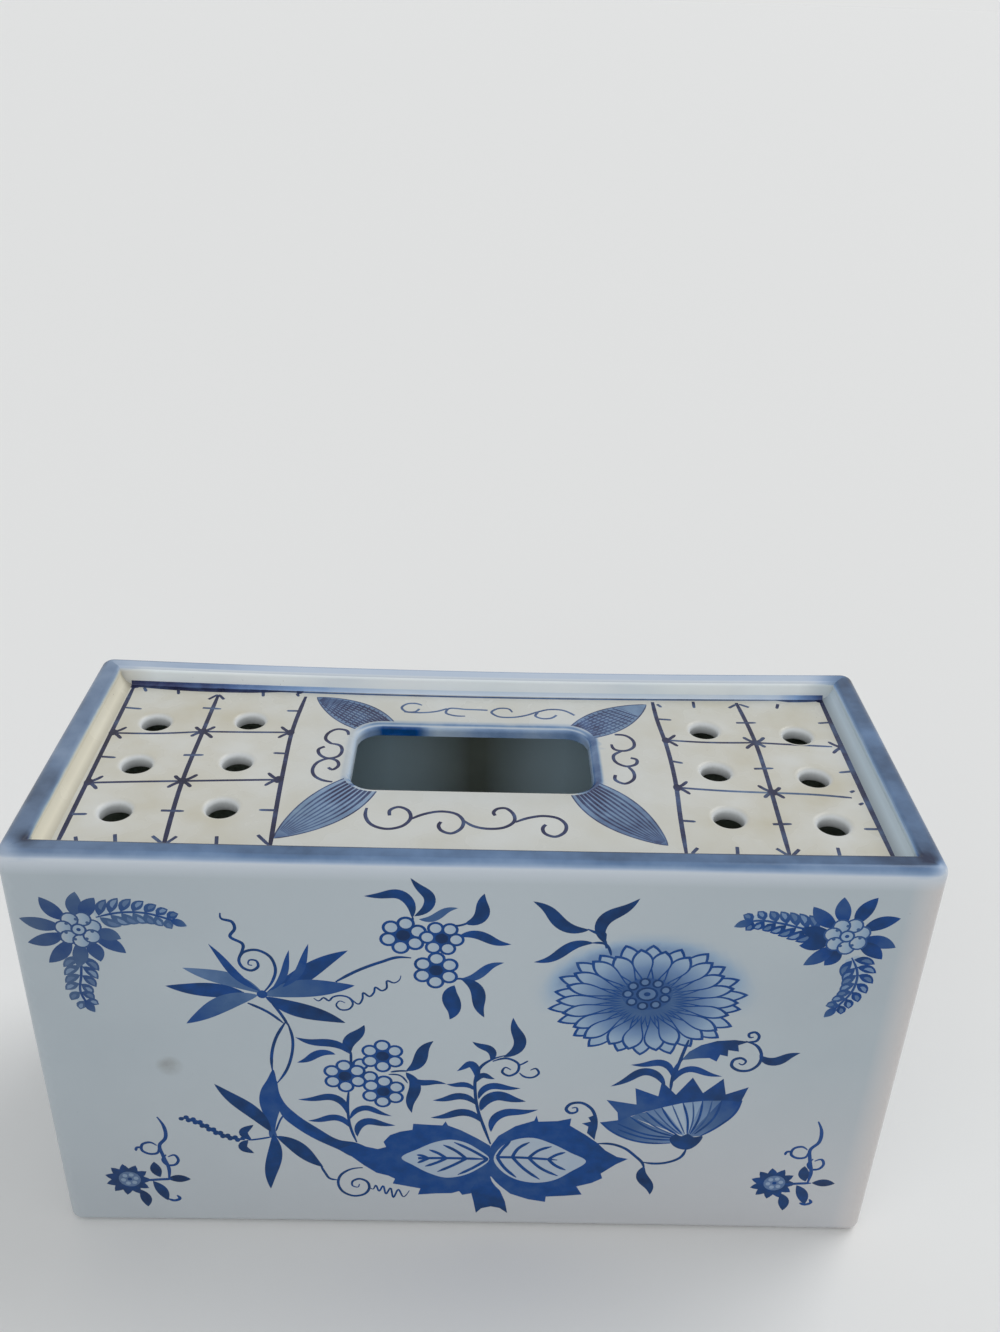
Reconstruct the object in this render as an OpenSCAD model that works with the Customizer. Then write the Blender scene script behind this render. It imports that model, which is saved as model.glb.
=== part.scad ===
// Slab-built porcelain flower brick: a rectangular vase with a sunken, pierced top.
// Millimetres, +Z up. The origin is on the table under the middle of the brick,
// +X runs along its length and -Y is the front.
// Every slab and luting strip is its own solid, as it lies on the potter's bench.

/* [Body] */
// Length of the brick, along X
body_length = 200; // [175:1:240]
// Depth of the brick, front to back
body_depth = 85; // [78:1:110]
// Height of the brick, table to rim
body_height = 116; // [80:1:140]
// Thickness of the four wall slabs
wall_t = 5; // [4:0.5:7]
// Radius of the upright outer corners
outer_corner_r = 3.2; // [2.4:0.1:3.8]
// Rounding of the rim's outer edge
rim_outer_round = 2.2; // [1:0.1:3.2]
// Rounding of the rim's inner edge
rim_inner_round = 1.6; // [0.8:0.1:2.6]
// Rounding of the walls' outer bottom edge
foot_round = 2.4; // [0.8:0.1:3.2]

/* [Floor] */
// Height of the floor's underside above the table
floor_lift = 2; // [1:0.5:4]
// Thickness of the floor slab
floor_t = 5; // [4:0.5:8]

/* [Pierced top] */
// Drop from the rim down to the pierced top
top_drop = 5; // [4.5:0.5:10]
// Thickness of the pierced top
top_t = 3.2; // [2.6:0.1:6]
// Clear length of the middle opening
opening_length = 58; // [40:1:72]
// Clear width of the middle opening
opening_width = 28; // [18:0.5:40]
// Corner radius of the middle opening
opening_corner_r = 6; // [4:0.5:9]
// How far the middle opening sits behind the centre line
opening_setback = 6.3; // [0:0.1:8]
// How far the middle opening sits to the left of the middle
opening_shift = 1.2; // [-3:0.1:3]
// Rounding of the middle opening's upper edge
opening_lip = 1.8; // [1:0.1:2.4]

/* [Stem holes] */
// Bore of a stem hole
hole_d = 7; // [5:0.5:10]
// Rounding of a stem hole's upper edge
hole_lip = 1.4; // [0.4:0.1:2]
// Columns of stem holes at each end
hole_columns = 2; // [1:1:2]
// Rows of stem holes, front to back
hole_rows = 3; // [2:1:3]
// Distance between columns of stem holes
hole_pitch_x = 23.4; // [18:0.2:25]
// Distance between rows of stem holes
hole_pitch_y = 19; // [14:0.2:22]
// How far the blocks of stem holes sit behind the centre line
hole_setback = 0.6; // [-3:0.1:3]
// How far the inner column of a block sits behind the outer one
hole_stagger = 2.2; // [0:0.1:4]
// Distance from an end wall to the nearest column of stem holes
hole_margin_x = 13.8; // [9:0.2:18]

/* [Luting strips] */
// Radius of the clay coils pressed into the inner seams
coil_r = 3; // [2:0.5:5]
// Depth and height of the ledge strips under the pierced top
ledge = 4; // [3:0.5:6]
// Thickness of a ledge strip at its free edge
ledge_lip = 1; // [0.6:0.2:2]
// Leg of the seam fillets at the two ends, above the pierced top
end_fillet = 3.2; // [2:0.2:4]
// Leg of the seam fillets along the front and back, above the pierced top
side_fillet = 1.2; // [0.8:0.2:2]
// How hollow the seam fillets are: the arc's centre, in legs from the seam
fillet_hollow = 1.5; // [1.2:0.1:3]

/* [Hidden] */
$fn = 96;
cut = 1; // how far a cutter runs past the face it opens
inner_length = body_length - 2 * wall_t;
inner_depth = body_depth - 2 * wall_t;
floor_top = floor_lift + floor_t;
top_z = body_height - top_drop;
top_underside = top_z - top_t;
hole_outer_x = inner_length / 2 - hole_margin_x;
end_fillet_leg = min(end_fillet, top_drop - rim_inner_round);
side_fillet_leg = min(side_fillet, top_drop - rim_inner_round);
porcelain = [0.80, 0.83, 0.88];
cream_glaze = [0.86, 0.84, 0.77];
raw_clay = [0.85, 0.80, 0.72];

// Flat shapes

// A rectangle centred on the origin, with round corners
module round_rect(size, r) {
    square([size.x - 2 * r, size.y], center = true);
    square([size.x, size.y - 2 * r], center = true);
    for (sx = [-1, 1], sy = [-1, 1])
        translate([sx * (size.x / 2 - r), sy * (size.y / 2 - r)]) circle(r);
}

// What a round edge of radius r leaves of a square corner at the origin, which lies towards -X and -Y
module edge_waste(r) {
    difference() {
        translate([-r, -r]) square(r + cut);
        translate([-r, -r]) circle(r);
    }
}

// Section of a wall: X runs from the inner face to the outer face, Y is height
module wall_section() {
    difference() {
        square([wall_t, body_height]);
        translate([wall_t, body_height]) edge_waste(rim_outer_round);
        translate([0, body_height]) mirror([1, 0]) edge_waste(rim_inner_round);
        translate([wall_t, 0]) mirror([0, 1]) edge_waste(foot_round);
    }
}

// Section of a pressed-in coil: a quarter round with its corner at the origin
module coil_section() {
    intersection() {
        square(coil_r);
        circle(coil_r);
    }
}

// Section of a ledge strip: flat on top, at Y = 0, and sloping back to the wall below
module ledge_section() {
    polygon([[0, 0], [ledge, 0], [ledge, -ledge_lip], [0, -ledge]]);
}

// Section of a smoothed seam: a hollow fillet with its corner at the origin
module fillet_section(leg) {
    arc_centre = fillet_hollow * leg;
    difference() {
        square(leg);
        translate([arc_centre, arc_centre]) circle(norm([arc_centre, arc_centre - leg]));
    }
}

// Solids that repeat

// The room between the walls, from height z0 to height z1
module between_walls(z0, z1) {
    translate([0, 0, z0])
        linear_extrude(z1 - z0)
            square([inner_length, inner_depth], center = true);
}

// A wall that meets its neighbours in mitres, with half of a round corner at each end of its outer face.
// It faces -Y, and the two corners turn about x = -run / 2 and x = run / 2 on the X axis.
module wall_slab(run) {
    inside = wall_t - outer_corner_r; // from that axis to the inner face
    intersection() {
        rotate([90, 0, -90])
            linear_extrude(run, center = true)
                translate([-inside, 0]) wall_section();
        linear_extrude(3 * body_height, center = true)
            polygon([
                [-run / 2 - wall_t, -wall_t], [run / 2 + wall_t, -wall_t],
                [run / 2 - wall_t, wall_t], [wall_t - run / 2, wall_t]
            ]);
    }
    for (far_end = [0, 1])
        mirror([far_end, 0, 0])
            translate([run / 2, 0, 0])
                rotate(-90)
                    rotate_extrude(angle = 45)
                        intersection() {
                            translate([-inside, 0]) wall_section();
                            square([outer_corner_r, body_height]);
                        }
}

// A strip of a given section along the inside of the wall that faces -Y at distance half_width from the middle
module strip(run, half_width) {
    translate([0, -half_width, 0])
        rotate([90, 0, 90])
            linear_extrude(run, center = true) children();
}

// A strip from corner to corner, with mitred ends
module mitred_strip(run, half_width, reach) {
    intersection() {
        strip(run, half_width) children();
        linear_extrude(2 * body_height, center = true)
            polygon([
                [-run / 2, -half_width], [run / 2, -half_width],
                [run / 2 - reach, reach - half_width], [reach - run / 2, reach - half_width]
            ]);
    }
}

// Slabs

module front_wall() {
    color(porcelain)
        translate([0, outer_corner_r - body_depth / 2, 0]) wall_slab(body_length - 2 * outer_corner_r);
}

module back_wall() {
    rotate(180) front_wall();
}

module left_end_wall() {
    color(porcelain)
        rotate(-90)
            translate([0, outer_corner_r - body_length / 2, 0]) wall_slab(body_depth - 2 * outer_corner_r);
}

module right_end_wall() {
    rotate(180) left_end_wall();
}

module floor_slab() {
    color(porcelain) between_walls(floor_lift, floor_top);
}

// A round hole through the top slab with a softened upper edge
module stem_hole() {
    translate([0, 0, top_underside - cut]) cylinder(d = hole_d, h = top_t + 2 * cut);
    translate([0, 0, top_z])
        rotate_extrude()
            translate([hole_d / 2, 0]) mirror([1, 0]) edge_waste(hole_lip);
}

// The middle opening: a round-cornered shaft with a softened upper edge
module middle_opening() {
    straight = [opening_length - 2 * opening_corner_r, opening_width - 2 * opening_corner_r];
    translate([0, 0, top_underside - cut])
        linear_extrude(top_t + 2 * cut)
            round_rect([opening_length, opening_width], opening_corner_r);
    translate([0, 0, top_z]) {
        for (side = [0, 180])
            rotate(side) {
                strip(straight.x, opening_width / 2) edge_waste(opening_lip);
                rotate(90) strip(straight.y, opening_length / 2) edge_waste(opening_lip);
            }
        for (quarter = [0 : 3])
            translate([
                (quarter == 0 || quarter == 3 ? 1 : -1) * straight.x / 2,
                (quarter < 2 ? 1 : -1) * straight.y / 2, 0
            ])
                rotate(90 * quarter)
                    rotate_extrude(angle = 90)
                        translate([opening_corner_r, 0]) mirror([1, 0]) edge_waste(opening_lip);
    }
}

module pierced_top() {
    color(cream_glaze)
        difference() {
            between_walls(top_underside, top_z);
            translate([-opening_shift, opening_setback, 0]) middle_opening();
            for (side = [-1, 1], i = [0 : hole_columns - 1], j = [0 : hole_rows - 1])
                translate([
                    side * (hole_outer_x - i * hole_pitch_x),
                    hole_setback + (i - (hole_columns - 1) / 2) * hole_stagger
                        + (j - (hole_rows - 1) / 2) * hole_pitch_y, 0
                ])
                    stem_hole();
        }
}

// Luting strips

// A full round in an upright inner corner, from the floor to the underside of the top slab
module corner_round(sx, sy) {
    translate([sx * inner_length / 2, sy * inner_depth / 2, floor_top])
        cylinder(r = coil_r, h = top_underside - floor_top);
}

// A coil pressed into an upright inner corner
module corner_coil(sx, sy) {
    color(raw_clay)
        intersection() {
            corner_round(sx, sy);
            between_walls(floor_top, top_underside);
        }
}

module front_left_corner_coil() { corner_coil(-1, -1); }
module front_right_corner_coil() { corner_coil(1, -1); }
module back_left_corner_coil() { corner_coil(-1, 1); }
module back_right_corner_coil() { corner_coil(1, 1); }

// Trims a strip inside the brick to the walls, and to the corner coils that it butts against
module between_corner_coils() {
    difference() {
        intersection() {
            children();
            between_walls(floor_top, top_underside);
        }
        for (sx = [-1, 1], sy = [-1, 1]) corner_round(sx, sy);
    }
}

// A coil in the seam between the floor and a wall
module floor_coil(run, half_width) {
    translate([0, 0, floor_top]) mitred_strip(run, half_width, coil_r) coil_section();
}

// A ledge under the top slab
module ledge_strip(run, half_width) {
    translate([0, 0, top_underside]) mitred_strip(run, half_width, ledge) ledge_section();
}

module front_floor_coil() {
    color(raw_clay) between_corner_coils() floor_coil(inner_length, inner_depth / 2);
}

module left_floor_coil() {
    color(raw_clay) between_corner_coils() rotate(-90) floor_coil(inner_depth, inner_length / 2);
}

module back_floor_coil() { rotate(180) front_floor_coil(); }
module right_floor_coil() { rotate(180) left_floor_coil(); }

module front_ledge() {
    color(raw_clay) between_corner_coils() ledge_strip(inner_length, inner_depth / 2);
}

module left_ledge() {
    color(raw_clay) between_corner_coils() rotate(-90) ledge_strip(inner_depth, inner_length / 2);
}

module back_ledge() { rotate(180) front_ledge(); }
module right_ledge() { rotate(180) left_ledge(); }

// The end fillets run from wall to wall, and the side fillets fit between them
module left_seam_fillet() {
    color(cream_glaze)
        translate([0, 0, top_z])
            rotate(-90) strip(inner_depth, inner_length / 2) fillet_section(end_fillet_leg);
}

module front_seam_fillet() {
    color(cream_glaze)
        translate([0, 0, top_z])
            strip(inner_length - 2 * end_fillet_leg, inner_depth / 2) fillet_section(side_fillet_leg);
}

module back_seam_fillet() { rotate(180) front_seam_fillet(); }
module right_seam_fillet() { rotate(180) left_seam_fillet(); }

front_wall();
back_wall();
left_end_wall();
right_end_wall();
floor_slab();
pierced_top();
front_left_corner_coil();
front_right_corner_coil();
back_left_corner_coil();
back_right_corner_coil();
front_floor_coil();
back_floor_coil();
left_floor_coil();
right_floor_coil();
front_ledge();
back_ledge();
left_ledge();
right_ledge();
front_seam_fillet();
back_seam_fillet();
left_seam_fillet();
right_seam_fillet();
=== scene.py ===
import math
import bmesh
import bpy
import numpy as np
from mathutils.geometry import delaunay_2d_cdt
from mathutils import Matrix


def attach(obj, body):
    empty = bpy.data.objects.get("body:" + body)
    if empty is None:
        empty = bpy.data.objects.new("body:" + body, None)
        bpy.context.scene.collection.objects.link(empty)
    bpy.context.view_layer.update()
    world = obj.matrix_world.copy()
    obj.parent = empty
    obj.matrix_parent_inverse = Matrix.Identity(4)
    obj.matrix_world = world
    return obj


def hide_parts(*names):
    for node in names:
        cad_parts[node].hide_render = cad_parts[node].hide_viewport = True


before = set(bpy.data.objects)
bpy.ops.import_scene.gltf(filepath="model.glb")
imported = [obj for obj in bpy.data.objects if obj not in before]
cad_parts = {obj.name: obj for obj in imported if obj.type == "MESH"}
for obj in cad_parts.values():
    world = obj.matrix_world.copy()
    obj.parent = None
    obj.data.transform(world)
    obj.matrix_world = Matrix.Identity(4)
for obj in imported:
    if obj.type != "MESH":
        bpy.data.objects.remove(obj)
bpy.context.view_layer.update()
scene = bpy.context.scene
mm = 0.001

# sizes of the slabs in millimetres, as in the solids
brick = {
    "length": 200, "depth": 85, "height": 116, "wall": 5, "outerCorner": 3.2,
    "rimOuter": 2.2, "footRound": 2.4, "topZ": 111, "topThick": 3.2, "floorUnder": 2,
}
# the glaze makes the rim a little fuller on its inner side, and softens the look of the inner corners
rimCoat = {"fuller": 0.8, "round": 1.2, "softSeam": 3.5}
outerCorner = brick["outerCorner"]
topUnder = brick["topZ"] - brick["topThick"]

# how far the slabs sagged in the kiln, in millimetres at mid-length
kiln = {"frontRim": 0.4, "backRim": 1.4, "footLift": 0.5}


def together(*columns):
    # points from their columns, where a single number goes for every point
    return np.stack([column.ravel() for column in np.broadcast_arrays(*columns)], axis=1)


def fade(value, low, high):
    # 0 at low, 1 at high, and held beyond them
    return np.clip((value - low) / (high - low), 0, 1)


def settle(points):
    pts = np.array(points, float)
    along = np.clip(1 - (2 * pts[:, 0] / brick["length"]) ** 2, 0, 1)
    back = np.clip(pts[:, 1] / brick["depth"] + 0.5, 0, 1)
    up = np.clip(pts[:, 2] / brick["height"], 0, 1)
    sag = kiln["frontRim"] * (1 - back) + kiln["backRim"] * back
    pts[:, 2] += along * (kiln["footLift"] * (1 - up) ** 2 - sag * up ** 2)
    return pts


# brush strokes: each is a closed outline with an ink strength at its two ends, from 0, bare, to 1, darkest


def through(points, step=0.6, closed=False):
    # a flowing line through a few points
    pts = np.array(points, float)
    if closed:
        pts = np.vstack([pts[-1], pts, pts[:2]])
    gap = np.diff(pts, axis=0)
    dist = np.hypot(gap[:, 0], gap[:, 1])[:, None]
    slope = gap / dist
    heading = np.empty_like(pts)
    heading[1:-1] = (slope[:-1] * dist[1:] + slope[1:] * dist[:-1]) / (dist[1:] + dist[:-1])
    heading[0], heading[-1] = slope[0], slope[-1]
    if len(pts) > 2:
        heading[0] = 1.5 * slope[0] - 0.5 * heading[1]
        heading[-1] = 1.5 * slope[-1] - 0.5 * heading[-2]
    first, last = (1, len(pts) - 2) if closed else (0, len(pts) - 1)
    out = []
    for i in range(first, last):
        t = np.linspace(0, 1, max(2, math.ceil(dist[i, 0] / step)), endpoint=False)[:, None]
        out.append((1 + 2 * t) * (1 - t) ** 2 * pts[i] + t * t * (3 - 2 * t) * pts[i + 1]
                   + dist[i] * t * (1 - t) * ((1 - t) * heading[i] - t * heading[i + 1]))
    if not closed:
        out.append(pts[-1:])
    return np.vstack(out)


def runOf(path):
    # how far along the line each point is, from 0 to 1
    far = np.concatenate([[0], np.cumsum(np.hypot(*np.diff(path, axis=0).T))])
    return far / far[-1]


def beside(path, offset):
    heading = np.gradient(path, axis=0)
    heading /= np.hypot(heading[:, 0], heading[:, 1])[:, None]
    return path + together(-heading[:, 1], heading[:, 0]) * np.reshape(offset, (-1, 1))


def lay(art, outline, ink, base=None, tip=None):
    outline = np.array(outline, float)
    inks = ink if isinstance(ink, tuple) else (ink, ink)
    base = outline[0] if base is None else base
    tip = outline[len(outline) // 2] if tip is None else tip
    art.append((outline, inks, np.array(base, float), np.array(tip, float)))


def band(art, path, half, ink):
    lay(art, np.vstack([beside(path, half), beside(path, -half)[::-1]]), ink, path[0], path[-1])


def stroke(art, points, width, ink, ends=(0.5, 0.4), step=0.5):
    path = through(points, step)
    t = runOf(path)
    taper = 0.3  # share of the stroke over which the brush comes down, and over which it lifts
    press = np.minimum(1, np.minimum(ends[0] + t / taper, ends[1] + (1 - t) / taper))
    band(art, path, width / 2 * press, ink)


def leaf(art, points, width, ink, curl=0.0, belly=0.5, step=0.7):
    path = through(points, step)
    t = runOf(path)
    if curl:  # the tip turns back against the bend
        a, b, c = np.array(points[0]), np.array(points[len(points) // 2]), np.array(points[-1])
        turn = np.sign((b - a)[0] * (c - b)[1] - (b - a)[1] * (c - b)[0])
        path = beside(path, -turn * curl * np.hypot(*(c - a)) * np.sin(2 * math.pi * t))
    half = width / 2 * np.sin(math.pi * t ** (math.log(0.5) / math.log(belly))) ** 0.85
    lay(art, np.vstack([beside(path, half), beside(path, -half)[-2:0:-1]]), ink, path[0], path[-1])


def disc(art, centre, radius, ink, flat=1.0, sides=18):
    a = np.linspace(0, 2 * math.pi, sides, endpoint=False)
    lay(art, together(centre[0] + radius * np.cos(a), centre[1] + radius * flat * np.sin(a)), ink)


def fill(art, points, ink, flowing=False, base=None, tip=None):
    lay(art, through(points, 0.6, True) if flowing else points, ink, base, tip)


def ringAt(centre, radius, turn, count):
    a = turn + 2 * math.pi * np.arange(count) / count
    return together(centre[0] + radius * np.cos(a), centre[1] + radius * np.sin(a))


# the print on the front, in millimetres: x along the wall, z up

fanSpray = {
    "tipCurl": 0.015, "heart": (-46.6, 78.3), "heartLook": (1.2, 0.86),
    "leaves": [
        ([(-46.5, 78.6), (-53, 82.2), (-63.5, 85.7)], 4.0, (0.66, 0.52)),
        ([(-49, 77.2), (-57.5, 79.2), (-67.8, 80.3)], 4.2, 0.88),
        ([(-47.5, 78), (-56.5, 74.6), (-64.2, 69)], 4.6, (0.6, 0.8)),
        ([(-47, 79.2), (-52.5, 84.8), (-57.3, 92.8)], 2.0, 0.84),
        ([(-46, 78.2), (-38, 83.8), (-27.2, 91.6)], 4.4, 0.88),
        ([(-46, 77.9), (-36.5, 80.3), (-26, 81.4)], 5.2, (0.62, 0.84)),
        ([(-46, 77.6), (-38, 73.6), (-28.4, 70)], 4.4, (0.86, 1.0)),
        ([(-44.5, 79.5), (-41.3, 85), (-40, 91.4)], 1.7, 0.82),
        ([(-42, 80.5), (-37.8, 86), (-35.7, 93.3)], 1.9, 0.82),
    ],
    "lines": [
        ([(-46.3, 78.8), (-44.2, 82), (-43.2, 86), (-44.5, 89.8), (-47.3, 91.3), (-50, 90.4), (-51, 88),
          (-50.2, 86), (-48.4, 85.3), (-46.9, 86.6), (-47.3, 88.2), (-48.7, 88.3), (-49, 87),
          (-48.2, 86.8)], 0.85),
        ([(-50.8, 89.6), (-49.8, 92.8), (-52.4, 95), (-51.2, 97.4), (-51.6, 99), (-54, 100.1),
          (-54, 101.5)], 0.9),
        ([(-50, 75.6), (-45.5, 72.8), (-42.4, 69.6)], 0.85),
        ([(-44.8, 76.2), (-42.6, 72), (-41.3, 68.8)], 0.85),
        ([(-42, 69.8), (-44.5, 64.5), (-45.7, 59), (-45.8, 54.5)], 0.9),
        ([(-41.4, 69.5), (-40.6, 65), (-41.2, 59), (-42.6, 54.5), (-44.9, 50.4)], 0.85),
        ([(-35.2, 77.4), (-34.2, 76.6), (-33, 77.6), (-31.9, 76.7), (-31, 77.8), (-29.6, 78.3), (-27.4, 77.7),
          (-26.6, 75.8), (-27.6, 74.2), (-29.4, 74.1), (-30.3, 75.5), (-29.5, 76.7), (-28.3, 76.1)], 0.6),
        ([(-27.2, 77.8), (-25.2, 75.9), (-24.4, 77.5), (-24.2, 79.3), (-22.8, 78.2), (-21.8, 79.5),
          (-21.5, 81), (-20, 80), (-19.1, 80.6), (-18.8, 83), (-17.3, 82.4), (-16.2, 83.2),
          (-15.8, 84.6)], 0.6),
        ([(-30.2, 82.4), (-25, 86), (-20, 88.5), (-16.5, 89.9), (-13.5, 89.8)], 0.95),
    ],
}

blossomSprays = {
    "flowers": [
        ((-15.2, 96.2), 1.0, 80), ((-6.9, 95.5), 0.93, 55), ((-8.1, 86.3), 1.0, 88),
        ((-29.1, 53), 1.0, 92), ((-20.3, 59.7), 0.98, 90), ((-20.3, 48.1), 1.0, 86),
    ],
    "petals": 6, "petalRing": 3.35, "ground": (2.4, 0.88), "eye": (1.5, 1.0),
    "petalDiscs": [(2.02, 0.85), (1.34, (0.16, 0.07))],  # radius and ink of each layer
    "rings": [(-23.3, 52.9), (-25.4, 57)],
    "ringDiscs": [(1.95, 0.85), (1.3, (0.16, 0.07))],
    "leaves": [
        ([(-13.2, 101), (-16.2, 107.6), (-23.4, 106.9)], 2.5, 0.9),
        ([(-12.8, 101.6), (-9.6, 107), (-13.5, 112)], 2.5, 0.92),
        ([(-11.8, 100.8), (-7.5, 102.1), (-3.4, 104.1)], 2.0, 0.66),
        ([(-2, 99.8), (1.6, 102.8), (2.1, 108.2)], 3.2, 0.92),
        ([(-3.4, 96), (2.6, 96), (8.2, 94.2)], 2.5, 0.88),
        ([(-3, 83.8), (2, 86), (6.8, 88.9)], 2.3, 0.8),
        ([(-2.6, 84), (1.3, 79), (2.8, 72.4)], 3.2, 0.92),
        ([(-4, 82), (-4.5, 77), (-5, 71.6)], 4.0, 0.9),
        ([(-27.6, 60.4), (-27, 65.2), (-24.2, 69.5)], 3.2, 0.92),
        ([(-27.4, 60), (-33.5, 63.8), (-40, 65.3)], 2.4, 0.88),
        ([(-31, 60), (-36, 59.6), (-40, 57.2)], 2.2, 0.85),
        ([(-15, 55), (-11.6, 59.5), (-8.6, 64.8)], 3.2, 0.92),
        ([(-15, 54.6), (-13.2, 48), (-13.7, 41)], 2.9, 0.92),
        ([(-15, 54.5), (-11.5, 51.5), (-5.5, 50.9)], 1.9, 0.9),
        ([(-28.9, 40), (-32.5, 45.8), (-40.4, 45)], 2.2, 0.88),
        ([(-28.4, 35.5), (-32, 38.8), (-38.4, 37.8)], 2.1, 0.86),
        ([(-28.4, 38.5), (-24.5, 42.3), (-18.4, 39.8)], 1.8, 0.86),
        ([(-26.8, 32.5), (-24.5, 37.6), (-17.6, 36.6)], 2.3, 0.88),
    ],
    "lines": [
        ([(-13.1, 101.4), (-13.2, 99)], 0.7), ([(-6, 99.6), (-3.5, 99.2), (-1, 100.2)], 0.7),
        ([(-5, 83), (-3, 84), (-1.5, 83.6)], 0.7), ([(-27.5, 61), (-27.6, 57), (-27.8, 54)], 0.8),
        ([(-18.5, 54.6), (-16.5, 55), (-14.5, 55)], 0.7), ([(-19, 53.8), (-16.5, 53.6), (-14.6, 51)], 0.6),
        ([(-27, 30.5), (-28.4, 36), (-28.8, 42), (-28.3, 49)], 0.85),
    ],
}

fernStem = {
    "leaves": [
        ([(3, 38), (-2, 41.2), (-9.3, 39.5)], 2.4, 0.9), ([(1.6, 44), (-3, 46.8), (-8.8, 45.4)], 2.2, 0.88),
        ([(1, 49), (-2.2, 50.9), (-5.6, 50.9)], 1.7, 0.88),
        ([(1.4, 52.5), (-0.2, 57.8), (-3.2, 55.2)], 2.1, 0.88),
        ([(4.5, 58.6), (4.2, 62.2), (0.2, 64.8)], 2.1, 0.92),
        ([(7.4, 60), (10.9, 65.2), (9.3, 72.5)], 2.9, 0.92), ([(1.4, 51.6), (3, 54), (5.7, 52.8)], 1.7, 0.92),
        ([(2, 46), (5, 50.2), (11.8, 49.9)], 2.1, 0.88), ([(2.6, 42), (6.5, 47.2), (13.2, 45.5)], 3.1, 0.9),
        ([(5.2, 34.8), (8.5, 41.5), (16.2, 42.8)], 2.5, 0.88),
    ],
    "lines": [
        ([(5.2, 30.5), (3.6, 36), (2, 42), (1.2, 48), (1.2, 53), (2.5, 57), (5, 59.3), (8, 60.6)], 0.95),
        ([(5, 58.6), (8.4, 59.6), (11, 57.8), (10.6, 55), (8.8, 54), (7.3, 55.2), (8, 56.7),
          (9.3, 55.9)], 0.8),
        ([(11, 57.4), (12, 58), (13.2, 59)], 0.6),
        ([(11.3, 55), (12.6, 53.7), (14.5, 53.6), (15.8, 55), (15, 56.5), (13.8, 55.9)], 0.7),
    ],
}

# a table of fills gives the ink at an outline's two ends, whether its edge flows, and where the ends lie
bambooSpray = {
    "tipCurl": 0.02,
    "cane": [(-45.6, 54.8), (-47.3, 51.3), (-48.9, 48), (-49.5, 44.5), (-49, 40.5), (-47.9, 36.5),
             (-47.2, 31.5), (-46.3, 31.5), (-46.3, 34.5), (-45.6, 38.5), (-44.8, 41.5), (-44.7, 47),
             (-45, 51)],
    "bough": [(-44.9, 51), (-44.6, 47), (-43.5, 43.6), (-41, 40), (-36.2, 35.3), (-31.2, 31.3), (-27, 30.3),
              (-23, 27), (-28, 25.3), (-31.5, 27.8), (-37.2, 31.6), (-41.6, 35.6), (-44.2, 38.9),
              (-45.2, 42)],
    "leaves": [
        ([(-47.4, 33.8), (-53, 42.4), (-59.6, 49.8)], 3.9, 0.93),
        ([(-46.9, 33), (-47.4, 24), (-48.7, 13.2)], 3.8, 0.9),
        ([(-46.3, 32.3), (-41.5, 28.3), (-35.4, 21.4)], 4.1, 0.93),
        ([(-52.2, 30.8), (-54, 33.4), (-51.4, 36.1)], 2.2, 0.92),
        ([(-53, 30.8), (-54.5, 28.2), (-51.9, 26.1)], 2.2, 0.95),
    ],
    "lines": [
        ([(-47.4, 32), (-50, 31.3), (-53, 30.7)], 0.7), ([(-46.2, 34), (-44.9, 38), (-44, 39.8)], 0.6),
        ([(-36, 21.9), (-35, 19.2), (-34, 17.3), (-32, 16.8)], 0.8),
        ([(-25.8, 21.4), (-28.5, 20.9), (-31.3, 18.5), (-32, 15.5), (-30.8, 12.3), (-28.2, 10.9),
          (-25.5, 11.8), (-24.4, 14), (-25, 16.4), (-26.8, 17.3), (-28.5, 16.2), (-28.5, 14.7), (-27.2, 14.2),
          (-26.8, 15.4)], 0.85),
        ([(-24.6, 14.5), (-23.5, 13.5), (-22.8, 15), (-22, 12.8), (-21, 14.8), (-20.3, 11.8), (-19.2, 14),
          (-18.5, 10.5), (-17.2, 13.5), (-16, 10.8), (-14.5, 13.2)], 0.6),
    ],
    "fills": {"bough": ((0.82, 0.92), True, (-44, 46), (-28, 28)), "cane": ((0.86, 0.78), True)},
    "string": (1.1, 0.9), "beadGap": 1.05, "beadSize": (0.66, 0.9), "beadSway": (0.2, 0.42),
    "beads": [(-54.5, 30.9), (-58, 31.9), (-62, 34.6), (-65, 37), (-68.2, 38.3)],
}

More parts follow.
